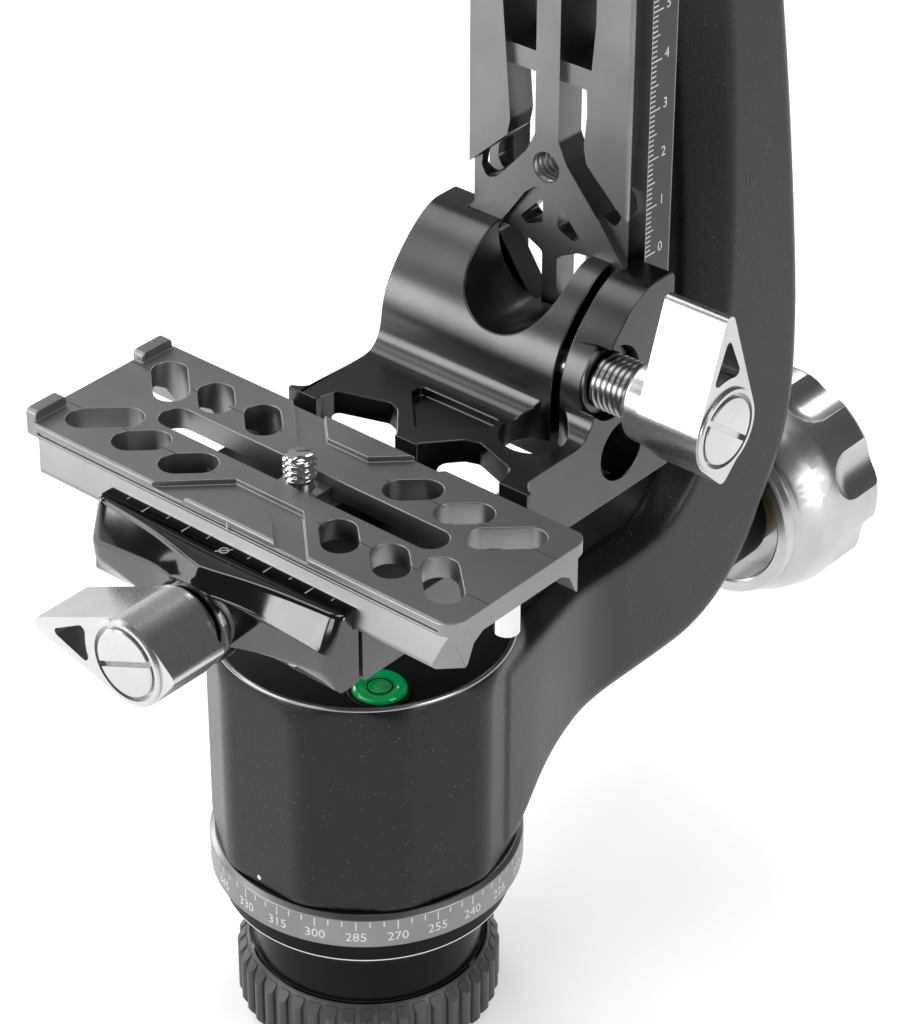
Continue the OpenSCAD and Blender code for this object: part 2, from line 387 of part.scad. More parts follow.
// ---------- quick-release plate ----------
function sec(s) = [for (p = s) [p[0] + qr_y, p[1]]];
foot = [[16.9, 91.6], [16.9, 91.4], [19.15, 85.3], [19.15, 84.4], [18.75, 84], [15.2, 84], [14.5, 84.7], [13, 88.1], [10.6, 89.5]];
module slot45(x, y, l, a) { translate([x, y, 80]) rotate(a) { translate([-l / 2 + 3.4, -3.4, 0]) cube([l - 6.8, 6.8, 20]); for (s = [-1, 1]) translate([s * (l / 2 - 3.4), 0, 0]) cylinder(r = 3.4, h = 20, $fn = 32); } }
pocket = [[-20.3, 20], [-8.2, 8.2], [8.2, 8.2], [20.3, 20], [12.4, 20], [5, 12.8], [-5, 12.8], [-12.4, 20]];
module quick_plate() { color("#77777a") up() difference() {
  union() {
    intersection() {
      exX(qr_x - qr_l / 2, qr_x + qr_l / 2, sec([[-18.4, qr_z], [-18.8, qr_z - 0.4], [-18.8, 91.2], [18.8, 91.2], [18.8, qr_z - 0.4], [18.4, qr_z]]));
      translate([qr_x, qr_y, 80]) linear_extrude(20) polygon(rp([[-qr_l / 2, -18.8], [qr_l / 2, -18.8], [qr_l / 2, 18.8], [-qr_l / 2, 18.8]], 3.6, 6));
    }
    intersection() {
      exX(qr_x - qr_l / 2, qr_x + qr_l / 2, sec(concat(foot, mir(foot))));
      translate([qr_x, qr_y, 80]) linear_extrude(20) polygon([[-qr_l / 2 + 4, -19.15], [qr_l / 2 - 4, -19.15], [qr_l / 2, -15.15], [qr_l / 2, 15.15], [qr_l / 2 - 4, 19.15],
        [-qr_l / 2 + 4, 19.15], [-qr_l / 2, 15.15], [-qr_l / 2, -15.15]]);
    }
    // anti-twist lugs at one end
    for (s = [-1, 1]) translate([qr_x - qr_l / 2 - 0.2, qr_y + s * 14 - 4, 90]) exX(0, 2.6, rp([[0, 0], [8, 0], [8, 6], [0, 6]], 1, 3));
  }
  // central slot for the camera screw
  translate([qr_x - 31, qr_y - 3.4, 80]) cube([62, 6.8, 20]);
  for (s = [-1, 1]) cyZ(qr_x + s * 31, qr_y, 3.4, 80, 100, 32);
  for (sx = [-1, 1], sy = [-1, 1]) {
    slot45(qr_x + sx * 18.4, qr_y + sy * 9.9, 11, sx * sy * 43);
    slot45(qr_x + sx * 30.4, qr_y + sy * 9.9, 11, sx * sy * 43);
    slot45(qr_x + sx * 41.1, qr_y + sy * 8.6, 14.6, sx * sy * 43);
  }
  for (s = [-1, 1]) translate([qr_x, qr_y, qr_z - 1.1]) linear_extrude(3) polygon([for (p = pocket) [s * p[0], s * p[1]]]);
  for (s = [-1, 1]) cyZ(qr_x + s * 48.5, qr_y, 2 + e, 82, 93, 32);
} }
module plate_stop_pins() { color("#c8c9cb") up() for (s = [-1, 1]) { cyZ(qr_x + s * 48.5, qr_y, 2.4, 82.2, 89.48, 48); cyZ(qr_x + s * 48.5, qr_y, 2, 89.4, 92.9, 32); } }
module screw_slider() { color("#8d8e90") up() difference() {
  union() { translate([qr_x - 6.5, qr_y - 5.5, 88.66]) cube([13, 11, 0.8]); translate([qr_x - 4.6, qr_y - 3.3, 89.4]) cube([9.2, 6.6, 2.6]); }
  cyZ(qr_x, qr_y, 2.5 + run, 85, 95, 32);
} }
module camera_screw() { color("#d5d6d8") up() {
  cyZ(qr_x, qr_y, 2.5, 88.5, 98.8, 32);
  cyZ(qr_x, qr_y, screw_r, 94.1, 98.5, 48);
  rotate([0, 0, 0]) translate([qr_x, qr_y, 0]) difference() { cylinder(r = 5.3, h = 88.6, $fn = 48); translate([0, 0, -1]) cylinder(r = 8, h = 86.6, $fn = 48); translate([-6, -0.8, 85]) cube([12, 1.6, 1.6]); }
} }

base_flange();
grip_collar();
degree_ring();
thread_insert();
ring_screws();
pan_spindle();
spindle_nut();
arm_casting();
top_cap();
level_cup();
level_vial();
pan_bearing_lower();
pan_bearing_upper();
tilt_bearing_front();
tilt_bearing_rear();
bearing_cover();
cover_screws();
pan_brake_pad();
pan_lock_knob();
pan_lock_rod();
pan_knob_cap();
pan_washer();
tilt_shaft();
tilt_hub();
swing_rail();
hub_cap();
hub_screws();
tilt_lock_knob();
tilt_knob_cap();
tilt_washer();
platform_bracket();
clamp_base();
clamp_screws();
guide_pins();
rail_lever_washer();
rail_lever();
rail_lever_stud();
rail_lever_cap();
front_jaw();
jaw_lever();
jaw_lever_stud();
jaw_lever_cap();
quick_plate();
plate_stop_pins();
screw_slider();
camera_screw();
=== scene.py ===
import json
import math
import bmesh
import bpy
from mathutils import Matrix, Vector


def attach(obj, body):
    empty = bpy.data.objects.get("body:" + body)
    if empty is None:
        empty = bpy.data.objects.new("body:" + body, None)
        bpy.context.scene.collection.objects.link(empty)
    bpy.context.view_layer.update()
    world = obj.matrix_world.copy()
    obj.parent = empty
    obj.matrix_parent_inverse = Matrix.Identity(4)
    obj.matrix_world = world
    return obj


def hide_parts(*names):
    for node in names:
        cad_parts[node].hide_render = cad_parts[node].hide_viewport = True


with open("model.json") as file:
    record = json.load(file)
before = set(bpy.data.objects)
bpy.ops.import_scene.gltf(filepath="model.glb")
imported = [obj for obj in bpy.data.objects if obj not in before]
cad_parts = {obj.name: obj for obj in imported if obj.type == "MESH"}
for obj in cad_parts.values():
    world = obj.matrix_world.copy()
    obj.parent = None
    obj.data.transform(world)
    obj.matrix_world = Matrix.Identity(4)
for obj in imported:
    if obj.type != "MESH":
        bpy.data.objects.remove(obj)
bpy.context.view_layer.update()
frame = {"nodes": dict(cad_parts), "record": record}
nodes = frame["nodes"]
scene = bpy.context.scene
MM = 0.001
FOOT = 34.0           # the pan housing's own frame starts at the foot of the degree ring


def H(x, y, z):
    """A point given in mm from the foot of the degree ring, in metres in the shared frame."""
    return Vector((x, y, z + FOOT)) * MM


# ---------------------------------------------------------------- camera
Rv = Vector((0.76001076, 0.64990896, 0.00141019))
Uv = Vector((-0.35504035, 0.41336874, 0.83849426))
Fv = Vector((-0.54436201, 0.63776533, -0.5449086))
eye = Vector((364.33370, -401.52567, 431.16546 + FOOT)) * MM
cam = bpy.data.cameras.new("camera")
cam.sensor_width = 36.0
cam.lens = 3490.462 * 36.0 / 1024.0
cam.clip_start = 0.01
cam_ob = bpy.data.objects.new("camera", cam)
scene.collection.objects.link(cam_ob)
m = Matrix((Rv, Uv, -Fv)).transposed().to_4x4()
m.translation = eye
cam_ob.matrix_world = m
scene.camera = cam_ob


# ---------------------------------------------------------------- materials
def new_mat(name):
    mat = bpy.data.materials.new(name)
    mat.use_nodes = True
    nt = mat.node_tree
    return mat, nt, nt.nodes["Principled BSDF"]


def coords(nt, scale=1.0, stretch=(1, 1, 1)):
    tc = nt.nodes.new("ShaderNodeTexCoord")
    mp = nt.nodes.new("ShaderNodeMapping")
    mp.inputs["Scale"].default_value = [scale * s for s in stretch]
    nt.links.new(tc.outputs["Object"], mp.inputs["Vector"])
    return mp.outputs["Vector"]


def noise(nt, vec, scale, detail=2.0, rough=0.5):
    n = nt.nodes.new("ShaderNodeTexNoise")
    n.inputs["Scale"].default_value = scale
    n.inputs["Detail"].default_value = detail
    n.inputs["Roughness"].default_value = rough
    nt.links.new(vec, n.inputs["Vector"])
    return n.outputs["Fac"]


def ramp(nt, fac, stops):
    r = nt.nodes.new("ShaderNodeValToRGB")
    el = r.color_ramp.elements
    while len(el) < len(stops):
        el.new(0.5)
    for e, (p, c) in zip(el, stops):
        e.position = p
        e.color = c if len(c) == 4 else (*c, 1)
    nt.links.new(fac, r.inputs["Fac"])
    return r.outputs["Color"]


def maprange(nt, fac, lo, hi, a=0.0, b=1.0):
    r = nt.nodes.new("ShaderNodeMapRange")
    r.inputs["From Min"].default_value = a
    r.inputs["From Max"].default_value = b
    r.inputs["To Min"].default_value = lo
    r.inputs["To Max"].default_value = hi
    nt.links.new(fac, r.inputs["Value"])
    return r.outputs["Result"]


def bump(nt, height, strength, distance, prev=None):
    b = nt.nodes.new("ShaderNodeBump")
    b.inputs["Strength"].default_value = strength
    b.inputs["Distance"].default_value = distance
    nt.links.new(height, b.inputs["Height"])
    if prev is not None:
        nt.links.new(prev, b.inputs["Normal"])
    return b.outputs["Normal"]


def grey(v, tint=0.0):
    return (v, v, v * (1 + tint), 1)


def textured_paint():
    """Black powder paint with a fine grain and sparse bright specks."""
    mat, nt, p = new_mat("textured_black_paint")
    v = coords(nt)
    big = noise(nt, v, 45, 3, 0.55)
    fine = noise(nt, v, 2600, 2, 0.6)
    vor = nt.nodes.new("ShaderNodeTexVoronoi")
    vor.feature = "F1"
    vor.inputs["Scale"].default_value = 1300
    nt.links.new(v, vor.inputs["Vector"])
    speck = ramp(nt, vor.outputs["Distance"], [(0.07, grey(1.0)), (0.17, grey(0.0))])
    base = ramp(nt, big, [(0.3, grey(0.006)), (0.7, grey(0.010))])
    pick = nt.nodes.new("ShaderNodeTexNoise")
    pick.inputs["Scale"].default_value = 700
    nt.links.new(v, pick.inputs["Vector"])
    gate = ramp(nt, pick.outputs["Fac"], [(0.55, grey(0.0)), (0.60, grey(1.0))])
    both = nt.nodes.new("ShaderNodeMix")
    both.data_type = "RGBA"
    both.blend_type = "MULTIPLY"
    both.inputs["Factor"].default_value = 1.0
    nt.links.new(speck, both.inputs[6])
    nt.links.new(gate, both.inputs[7])
    mix = nt.nodes.new("ShaderNodeMix")
    mix.data_type = "RGBA"
    nt.links.new(both.outputs[2], mix.inputs["Factor"])
    nt.links.new(base, mix.inputs[6])
    mix.inputs[7].default_value = grey(0.20)
    nt.links.new(mix.outputs[2], p.inputs["Base Color"])
    nt.links.new(maprange(nt, fine, 0.24, 0.38), p.inputs["Roughness"])
    nt.links.new(bump(nt, fine, 0.46, 0.00012), p.inputs["Normal"])
    p.inputs["Specular IOR Level"].default_value = 0.30
    return mat


def anodised(name, v0, v1, rough0, rough1, metallic=0.85, grain=7000, gb=0.12, tint=0.01):
    """Bead-blasted, anodised aluminium: a fine grain and slow changes of tone."""
    mat, nt, p = new_mat(name)
    v = coords(nt)
    slow = noise(nt, v, 60, 3, 0.55)
    fine = noise(nt, v, grain, 2, 0.6)
    nt.links.new(ramp(nt, slow, [(0.3, grey(v0, tint)), (0.7, grey(v1, tint))]), p.inputs["Base Color"])
    nt.links.new(maprange(nt, fine, rough0, rough1), p.inputs["Roughness"])
    nt.links.new(bump(nt, fine, gb, 0.00006), p.inputs["Normal"])
    p.inputs["Metallic"].default_value = metallic
    return mat


def satin_silver(name, v0, v1, rough0, rough1, tint=(1.0, 0.99, 0.965), stretch=(1, 1, 1), scale=7000):
    mat, nt, p = new_mat(name)
    v = coords(nt, 1.0, stretch)
    slow = noise(nt, coords(nt), 70, 3, 0.5)
    fine = noise(nt, v, scale, 3, 0.6)
    c0 = (v0 * tint[0], v0 * tint[1], v0 * tint[2], 1)
    c1 = (v1 * tint[0], v1 * tint[1], v1 * tint[2], 1)
    nt.links.new(ramp(nt, slow, [(0.3, c0), (0.7, c1)]), p.inputs["Base Color"])
    nt.links.new(maprange(nt, fine, rough0, rough1), p.inputs["Roughness"])
    nt.links.new(bump(nt, fine, 0.05, 0.00003), p.inputs["Normal"])
    p.inputs["Metallic"].default_value = 1.0
    return mat


def rubber():
    mat, nt, p = new_mat("grip_rubber")
    v = coords(nt)
    slow = noise(nt, v, 80, 3, 0.6)
    fine = noise(nt, v, 2200, 2, 0.6)
    nt.links.new(ramp(nt, slow, [(0.3, grey(0.045)), (0.7, grey(0.065))]), p.inputs["Base Color"])
    nt.links.new(maprange(nt, slow, 0.30, 0.48), p.inputs["Roughness"])
    nt.links.new(bump(nt, fine, 0.18, 0.00006), p.inputs["Normal"])
    return mat


def paint_ink(name, v):
    mat, nt, p = new_mat(name)
    f = noise(nt, coords(nt), 1800, 2, 0.6)
    nt.links.new(ramp(nt, f, [(0.3, grey(v * 0.86)), (0.7, grey(v))]), p.inputs["Base Color"])
    p.inputs["Roughness"].default_value = 0.5
    return mat


# Glossy green vial whose faint emission is a painted glow, as if light shone through the liquid.
def vial_green():
    mat, nt, p = new_mat("vial_green")
    v = coords(nt)
    slow = noise(nt, v, 180, 2, 0.5)
    nt.links.new(ramp(nt, slow, [(0.3, (0.0, 0.30, 0.075, 1)), (0.7, (0.002, 0.45, 0.12, 1))]), p.inputs["Base Color"])
    p.inputs["Roughness"].default_value = 0.05
    p.inputs["Coat Weight"].default_value = 0.6
    # painted glow: the bowl emits a little green light of its own
    p.inputs["Emission Color"].default_value = (0.0, 0.42, 0.10, 1)
    p.inputs["Emission Strength"].default_value = 0.25
    return mat


def tinted(name, c0, c1, rough):
    mat, nt, p = new_mat(name)
    f = noise(nt, coords(nt), 300, 2, 0.5)
    nt.links.new(ramp(nt, f, [(0.3, c0), (0.7, c1)]), p.inputs["Base Color"])
    p.inputs["Roughness"].default_value = rough
    return mat


M = {
    "paint": textured_paint(),
    "gunmetal": anodised("gunmetal", 0.115, 0.15, 0.30, 0.42),
    "rail": anodised("rail_gunmetal", 0.20, 0.25, 0.28, 0.38, metallic=1.0, tint=0.0),
    "satin_black": anodised("satin_black", 0.085, 0.110, 0.20, 0.30, metallic=1.0, gb=0.07, tint=0.0),
    "gloss_black": anodised("gloss_black", 0.10, 0.12, 0.07, 0.12, metallic=1.0, gb=0.015, tint=0.0),
    "neck": anodised("neck_black", 0.005, 0.008, 0.12, 0.2, metallic=0.0, gb=0.02, tint=0.0),
    "silver": satin_silver("satin_silver", 0.60, 0.70, 0.22, 0.32),
    "silver_lathe": satin_silver("turned_silver", 0.52, 0.62, 0.24, 0.34),
    "ring": satin_silver("ring_silver", 0.24, 0.29, 0.30, 0.40, tint=(1, 1, 1)),
    # painted highlight: bright metal for the light caught on the flange's chamfer
    "chamfer_highlight": satin_silver("chamfer_painted_highlight", 0.78, 0.84, 0.08, 0.14, tint=(1, 1, 1)),
    # painted highlight: bright metal for the light caught on the housing's top edge
    "rim_highlight": satin_silver("rim_painted_highlight", 0.30, 0.36, 0.18, 0.28, tint=(1, 1, 1)),
    "steel": satin_silver("steel", 0.42, 0.52, 0.22, 0.36, tint=(1, 1, 1.01)),
    "stud": satin_silver("stud_steel", 0.30, 0.38, 0.20, 0.30, tint=(1, 1, 1)),
    "chrome": satin_silver("bright_steel", 0.74, 0.82, 0.06, 0.14, tint=(1, 1, 1)),
    "brass": satin_silver("brass", 0.7, 0.8, 0.25, 0.4, tint=(0.85, 0.66, 0.36)),
    "rubber": rubber(),
    "plastic": anodised("black_plastic", 0.012, 0.02, 0.25, 0.4, metallic=0.0),
    "plate": anodised("plate_gunmetal", 0.26, 0.31, 0.34, 0.44, metallic=0.93, grain=6500, gb=0.07, tint=0.0),
    "line": paint_ink("engraved_line", 0.055),
    "green_painted_glow": vial_green(),
    "dark_green": tinted("dark_green", (0.0, 0.045, 0.015), (0.0, 0.075, 0.025), 0.25),
    "bubble": tinted("bubble", (0.03, 0.52, 0.15), (0.08, 0.66, 0.22), 0.06),
    "ink": paint_ink("white_ink", 0.75),
    "dark_ink": paint_ink("dark_ink", 0.035),
}
SLOT = {"textured_black": "paint", "gunmetal": "gunmetal", "satin_black": "satin_black", "gloss_black": "gloss_black", "silver": "silver",
        "bright_ring": "ring", "steel": "steel", "bright_steel": "chrome", "brass": "brass", "grip_rubber": "rubber", "black_plastic": "plastic", "vial_green": "green_painted_glow"}


def paint(obj, key):
    obj.data.materials.clear()
    obj.data.materials.append(M[key])


def dress(obj, width=0.25, angle=30, segments=2, dissolve=True, smooth=35):
    """Softens a machined solid's sharp edges, as a real part's edges are broken."""
    if dissolve:
        w = obj.modifiers.new("weld", "WELD")
        w.merge_threshold = 2e-6
        d = obj.modifiers.new("planar", "DECIMATE")
        d.decimate_type = "DISSOLVE"
        d.angle_limit = math.radians(0.6)
    if width:
        b = obj.modifiers.new("edge", "BEVEL")
        b.width = width * MM
        b.limit_method = "ANGLE"
        b.angle_limit = math.radians(angle)
        b.segments = segments
        b.harden_normals = True
        b.miter_outer = "MITER_ARC" if segments > 2 else "MITER_SHARP"
        b.use_clamp_overlap = True
    for p in obj.data.polygons:
        p.use_smooth = True
    n = obj.modifiers.new("normals", "WEIGHTED_NORMAL")
    n.keep_sharp = True
    n.weight = 50


def obj_from(name, verts, faces, key="steel"):
    me = bpy.data.meshes.new(name)
    me.from_pydata([tuple(v) for v in verts], [], [tuple(f) for f in faces])
    me.validate()
    ob = bpy.data.objects.new(name, me)
    scene.collection.objects.link(ob)
    me.materials.append(M[key])
    return ob


def applied(ob):
    """The object's mesh with its modifiers applied."""
    bpy.context.view_layer.update()
    dg = bpy.context.evaluated_depsgraph_get()
    me = bpy.data.meshes.new_from_object(ob.evaluated_get(dg), depsgraph=dg)
    old = ob.data
    ob.modifiers.clear()
    ob.data = me
    me.name = ob.name
    if old.users == 0:
        bpy.data.meshes.remove(old)
    return ob


def drop(*obs):
    for o in obs:
        me = o.data
        bpy.data.objects.remove(o)
        if me.users == 0:
            bpy.data.meshes.remove(me)


def cut(ob, tool, op="DIFFERENCE", keep=False):
    m = ob.modifiers.new("cut", "BOOLEAN")
    m.operation = op
    m.object = tool
    m.solver = "EXACT"
    applied(ob)
    if not keep:
        drop(tool)
    return ob


def copy_node(node, name):
    src = nodes[node]
    ob = bpy.data.objects.new(name, src.data.copy())
    scene.collection.objects.link(ob)
    bm = bmesh.new()
    bm.from_mesh(ob.data)
    bmesh.ops.remove_doubles(bm, verts=bm.verts, dist=2e-6)
    bm.normal_update()
    bm.to_mesh(ob.data)
    bm.free()
    return ob


def arc(c, r, a0, a1, n):
    return [(c[0] + r * math.cos(math.radians(a0 + (a1 - a0) * i / n)), c[1] + r * math.sin(math.radians(a0 + (a1 - a0) * i / n))) for i in range(n + 1)]


def round_poly(pts, radii, n=4):
    """A polygon with rounded corners; every corner gives n + 1 points."""
    out = []
    m = len(pts)
    if not isinstance(radii, (list, tuple)):
        radii = [radii] * m
    for i in range(m):
        A, B, C = Vector(pts[i - 1]).to_2d(), Vector(pts[i]).to_2d(), Vector(pts[(i + 1) % m]).to_2d()
        u, v = (A - B).normalized(), (C - B).normalized()
        r = max(radii[i], 1e-4)
        th = math.acos(max(-0.99999, min(0.99999, u.dot(v))))
        t = r / math.tan(th / 2)
        c = B + (u + v).normalized() * r / math.sin(th / 2)
        s, f = B + u * t, B + v * t
        a0, a1 = math.atan2(s.y - c.y, s.x - c.x), math.atan2(f.y - c.y, f.x - c.x)
        d = a1 - a0
        d = d - 2 * math.pi if d > math.pi else (d + 2 * math.pi if d < -math.pi else d)
        out += [(c.x + r * math.cos(a0 + d * k / n), c.y + r * math.sin(a0 + d * k / n)) for k in range(n + 1)]
    return out


def prism(name, poly, lo, hi, axis="Z", key="steel"):
    """A 2-D outline (mm) extruded along an axis. Z: (x, y). X: (y, z). Y: (x, z)."""
    def place(p, h):
        return H(p[0], p[1], h) if axis == "Z" else (H(h, p[0], p[1]) if axis == "X" else H(p[0], h, p[1]))
    n = len(poly)
    area2 = sum(poly[i - 1][0] * poly[i][1] - poly[i][0] * poly[i - 1][1] for i in range(n))
    flip = (area2 < 0) != (axis == "Y")
    vs = [place(p, lo) for p in poly] + [place(p, hi) for p in poly]
    fs = [list(range(n))[::-1], list(range(n, 2 * n))] + [[i, (i + 1) % n, n + (i + 1) % n, n + i] for i in range(n)]
    if flip:
        fs = [f[::-1] for f in fs]
    return obj_from(name, vs, fs, key)


def lathe(name, profile, n=128, origin=(0, 0, 0), axis="Z", key="steel", closed=False, radius=None):
    """Profile of (radius, height) in mm turned about an axis through origin; a radius of 0 closes on the axis."""
    vs, fs = [], []
    rings = []
    for r, h in profile:
        if r <= 1e-6:
            rings.append([len(vs)])
            vs.append((0, 0, h))
        else:
            rings.append(list(range(len(vs), len(vs) + n)))
            for i in range(n):
                a = 2 * math.pi * i / n
                rr = radius(r, h, a) if radius else r
                vs.append((rr * math.cos(a), rr * math.sin(a), h))
    pairs = list(zip(rings, rings[1:])) + ([(rings[-1], rings[0])] if closed else [])
    for a, b in pairs:
        if len(a) == 1 and len(b) == 1:
            continue
        for i in range(n):
            j = (i + 1) % n
            if len(a) == 1:
                fs.append((a[0], b[j], b[i]))
            elif len(b) == 1:
                fs.append((a[i], a[j], b[0]))
            else:
                fs.append((a[i], a[j], b[j], b[i]))
    out = []
    for x, y, z in vs:
        if axis == "Z":
            q = (x, y, z)
        elif axis == "Y":
            q = (y, z, x)
        elif axis == "-Y":
            q = (x, -z, y)
        else:
            q = (z, x, y)
        out.append(H(origin[0] + q[0], origin[1] + q[1], origin[2] + q[2]))
    return obj_from(name, out, fs, key)


def fix_normals(ob):
    bm = bmesh.new()
    bm.from_mesh(ob.data)
    bmesh.ops.remove_doubles(bm, verts=bm.verts, dist=1e-6)
    bmesh.ops.recalc_face_normals(bm, faces=bm.faces)
    bm.to_mesh(ob.data)
    bm.free()
    return ob


def joined(name, obs, key):
    """Several meshes as one."""
    vs, fs = [], []
    for o in obs:
        k = len(vs)
        vs += [o.matrix_world @ v.co for v in o.data.vertices]
        fs += [[k + i for i in p.vertices] for p in o.data.polygons]
    drop(*obs)
    return obj_from(name, vs, fs, key)


def catmull(rows, per):
    """Smooth rows of numbers through a list of rows."""
    out = []
    n = len(rows)
    for i in range(n - 1):
        p0, p1, p2, p3 = rows[max(i - 1, 0)], rows[i], rows[i + 1], rows[min(i + 2, n - 1)]
        for k in range(per):
            t = k / per
            out.append([0.5 * (2 * b + (c - a) * t + (2 * a - 5 * b + 4 * c - d) * t * t + (3 * b - a - 3 * c + d) * t ** 3) for a, b, c, d in zip(p0, p1, p2, p3)])
    out.append(list(rows[-1]))
    return out


def skin(name, rings, key):
    n = len(rings[0])
    vs = [p for r in rings for p in r]
    fs = [list(range(n))[::-1], [(len(rings) - 1) * n + i for i in range(n)]]
    for j in range(len(rings) - 1):
        for i in range(n):
            fs.append((j * n + i, j * n + (i + 1) % n, (j + 1) * n + (i + 1) % n, (j + 1) * n + i))
    return fix_normals(obj_from(name, vs, fs, key))


# ---------------------------------------------------------------- arm
STATIONS = [  # inner Y, Z; outer Y, Z; half width; inner chamfer; outer radius
    (9, 54.4, 9, 8.4, 28.4, 4, 1.5), (14.5, 54.2, 14.5, 9.4, 27.0, 4, 1.6), (20, 53.8, 19.5, 11.8, 25.6, 4, 1.8),
    (26, 53.2, 24.5, 14.0, 24.0, 4, 2), (32, 52.4, 30.5, 15.6, 22.2, 4, 2.2), (38, 51.6, 37, 16.2, 20.4, 4, 2.4),
    (44, 50.8, 44, 16.4, 18.8, 4, 2.5), (50, 50.2, 52, 16.4, 18.0, 4, 2.5), (57, 50.0, 62, 16.4, 18, 4, 2.5),
    (63, 50.2, 71, 16.4, 18, 4, 2.5), (68, 51.4, 79, 16.7, 18, 4.4, 2.5), (72, 53.8, 85.5, 18.2, 18, 5, 2.5),
    (75.4, 57.2, 91, 20.8, 18, 5.6, 2.5), (78.2, 61.8, 96, 24.8, 18, 6.2, 2.5), (80.2, 67.2, 100.6, 30, 18, 6.8, 2.5),
    (81.4, 73, 104.6, 36.8, 18, 7.2, 2.5), (82.2, 79.4, 108.8, 44, 18, 7.4, 2.5), (82.6, 86, 111.9, 51, 18, 7.4, 2.5),
    (82.7, 93, 113.6, 60, 18, 7.4, 2.5), (82.6, 100, 113.8, 71, 18, 7.4, 2.5), (82.2, 108, 113.1, 84, 18, 7.4, 2.5),
    (81.4, 118, 111.4, 99, 18, 7.4, 2.5), (80.2, 130, 109.1, 116, 18, 7.4, 2.5), (78.6, 143, 106.2, 135, 18, 7.4, 2.5),
    (76.6, 155, 103.2, 152, 18, 7.4, 2.5), (74.2, 166, 100.4, 166, 18.2, 7, 2.5), (71.8, 176, 98.2, 176, 19.2, 5, 2.2),
    (70.4, 184, 97.3, 184, 20.6, 3, 1.8), (70, 192, 97, 192, 22, 2, 1.5)]
TILT = 200.0
BAND = (78.4, 225.6)


def arm_ring(s):
    iy, iz, oy, oz, w, k, ro = s
    v = Vector((iy - oy, iz - oz))
    h = v.length / 2
    v.normalize()
    cy, cz = (iy + oy) / 2, (iz + oz) / 2
    q = round_poly([(-w, -h), (w, -h), (w, h - k), (w - 1.1 * k, h), (-w + 1.1 * k, h), (-w, h - k)], [ro + 0.6, ro + 0.6, 2.4, 2.4, 2.4, 2.4], 6)
    return [H(x, cy + v.x * y, cz + v.y * y) for x, y in q]


def flats(r, h, a):
    """Ten soft flats round the pan housing."""
    deg = (math.degrees(a) + 18) % 36 - 18
    lim = 29.32 / max(math.cos(math.radians(18 - abs(deg))), 0.2)
    k = 0.4
    m = min(r, lim)
    d = abs(r - lim)
    return m - (max(0.0, k - d) ** 2) / (4 * k) * 0.6


def build_arm():
    sweep = skin("sweep", [arm_ring(s) for s in catmull([list(map(float, s)) for s in STATIONS], 5)], "paint")
    prof = [(0, 7.75), (29.4, 7.75), (29.9, 7.9), (30.3, 8.3), (30.4, 9), (30.4, 20), (30.4, 32), (30.4, 44), (30.4, 49.2), (30.36, 50.6),
            (30.2, 51.8), (29.95, 52.9), (29.6, 53.8), (29.2, 54.6), (28.95, 55.0), (0, 55.0)]
    house = fix_normals(lathe("house", prof, n=360, radius=flats))
    disc = fix_normals(lathe("disc", [(0, 0), (25.2, 0), (26.4, 0.35), (27, 1.4), (27, 25.6), (26.4, 26.65), (25.2, 27), (0, 27)], n=160, origin=(0, 70, TILT), axis="Y"))
    boss = fix_normals(lathe("boss", [(0, 0), (12, 0), (12, 31.2), (11.6, 31.8), (10.8, 32), (0, 32)], n=96, origin=(0, 84, 24), axis="Y"))
    ob = joined("arm_casting_skin", [sweep, house, disc, boss], "paint")
    r = ob.modifiers.new("remesh", "REMESH")
    r.mode = "VOXEL"
    r.voxel_size = 0.7 * MM
    sm = ob.modifiers.new("smooth", "SMOOTH")
    sm.factor = 0.5
    sm.iterations = 2
    applied(ob)
    tool = fix_normals(lathe("t", [(0, 50), (28.32, 50), (28.32, 60), (0, 60)], n=192))
    cut(ob, tool)
    tool = fix_normals(lathe("t", [(0, -2), (16, -2), (16, 9.97), (12, 9.97), (12, 16.5), (16, 16.5), (16, 29), (0, 29)], n=96, origin=(0, 70, TILT), axis="Y"))
    cut(ob, tool)
    tool = fix_normals(lathe("t", [(0, 0), (4.06, 0), (4.06, 20), (0, 20)], n=48, origin=(0, 98, 24), axis="Y"))
    cut(ob, tool)
    for p in ob.data.polygons:
        p.use_smooth = True
    ob.data.set_sharp_from_angle(angle=math.radians(40))
    return ob


# ---------------------------------------------------------------- lettering and marks
def glyphs(text, size, extrude=0.012):
    """A word's mesh in mm, centred, in the XY plane."""
    cu = bpy.data.curves.new("glyph", "FONT")
    cu.body = text
    cu.size = size
    cu.extrude = extrude
    cu.align_x = "CENTER"
    cu.align_y = "CENTER"
    cu.resolution_u = 3
    ob = bpy.data.objects.new("glyph", cu)
    scene.collection.objects.link(ob)
    bpy.context.view_layer.update()
    me = bpy.data.meshes.new_from_object(ob.evaluated_get(bpy.context.evaluated_depsgraph_get()))
    out = [tuple(v.co) for v in me.vertices], [tuple(p.vertices) for p in me.polygons]
    bpy.data.objects.remove(ob)
    bpy.data.curves.remove(cu)
    bpy.data.meshes.remove(me)
    return out


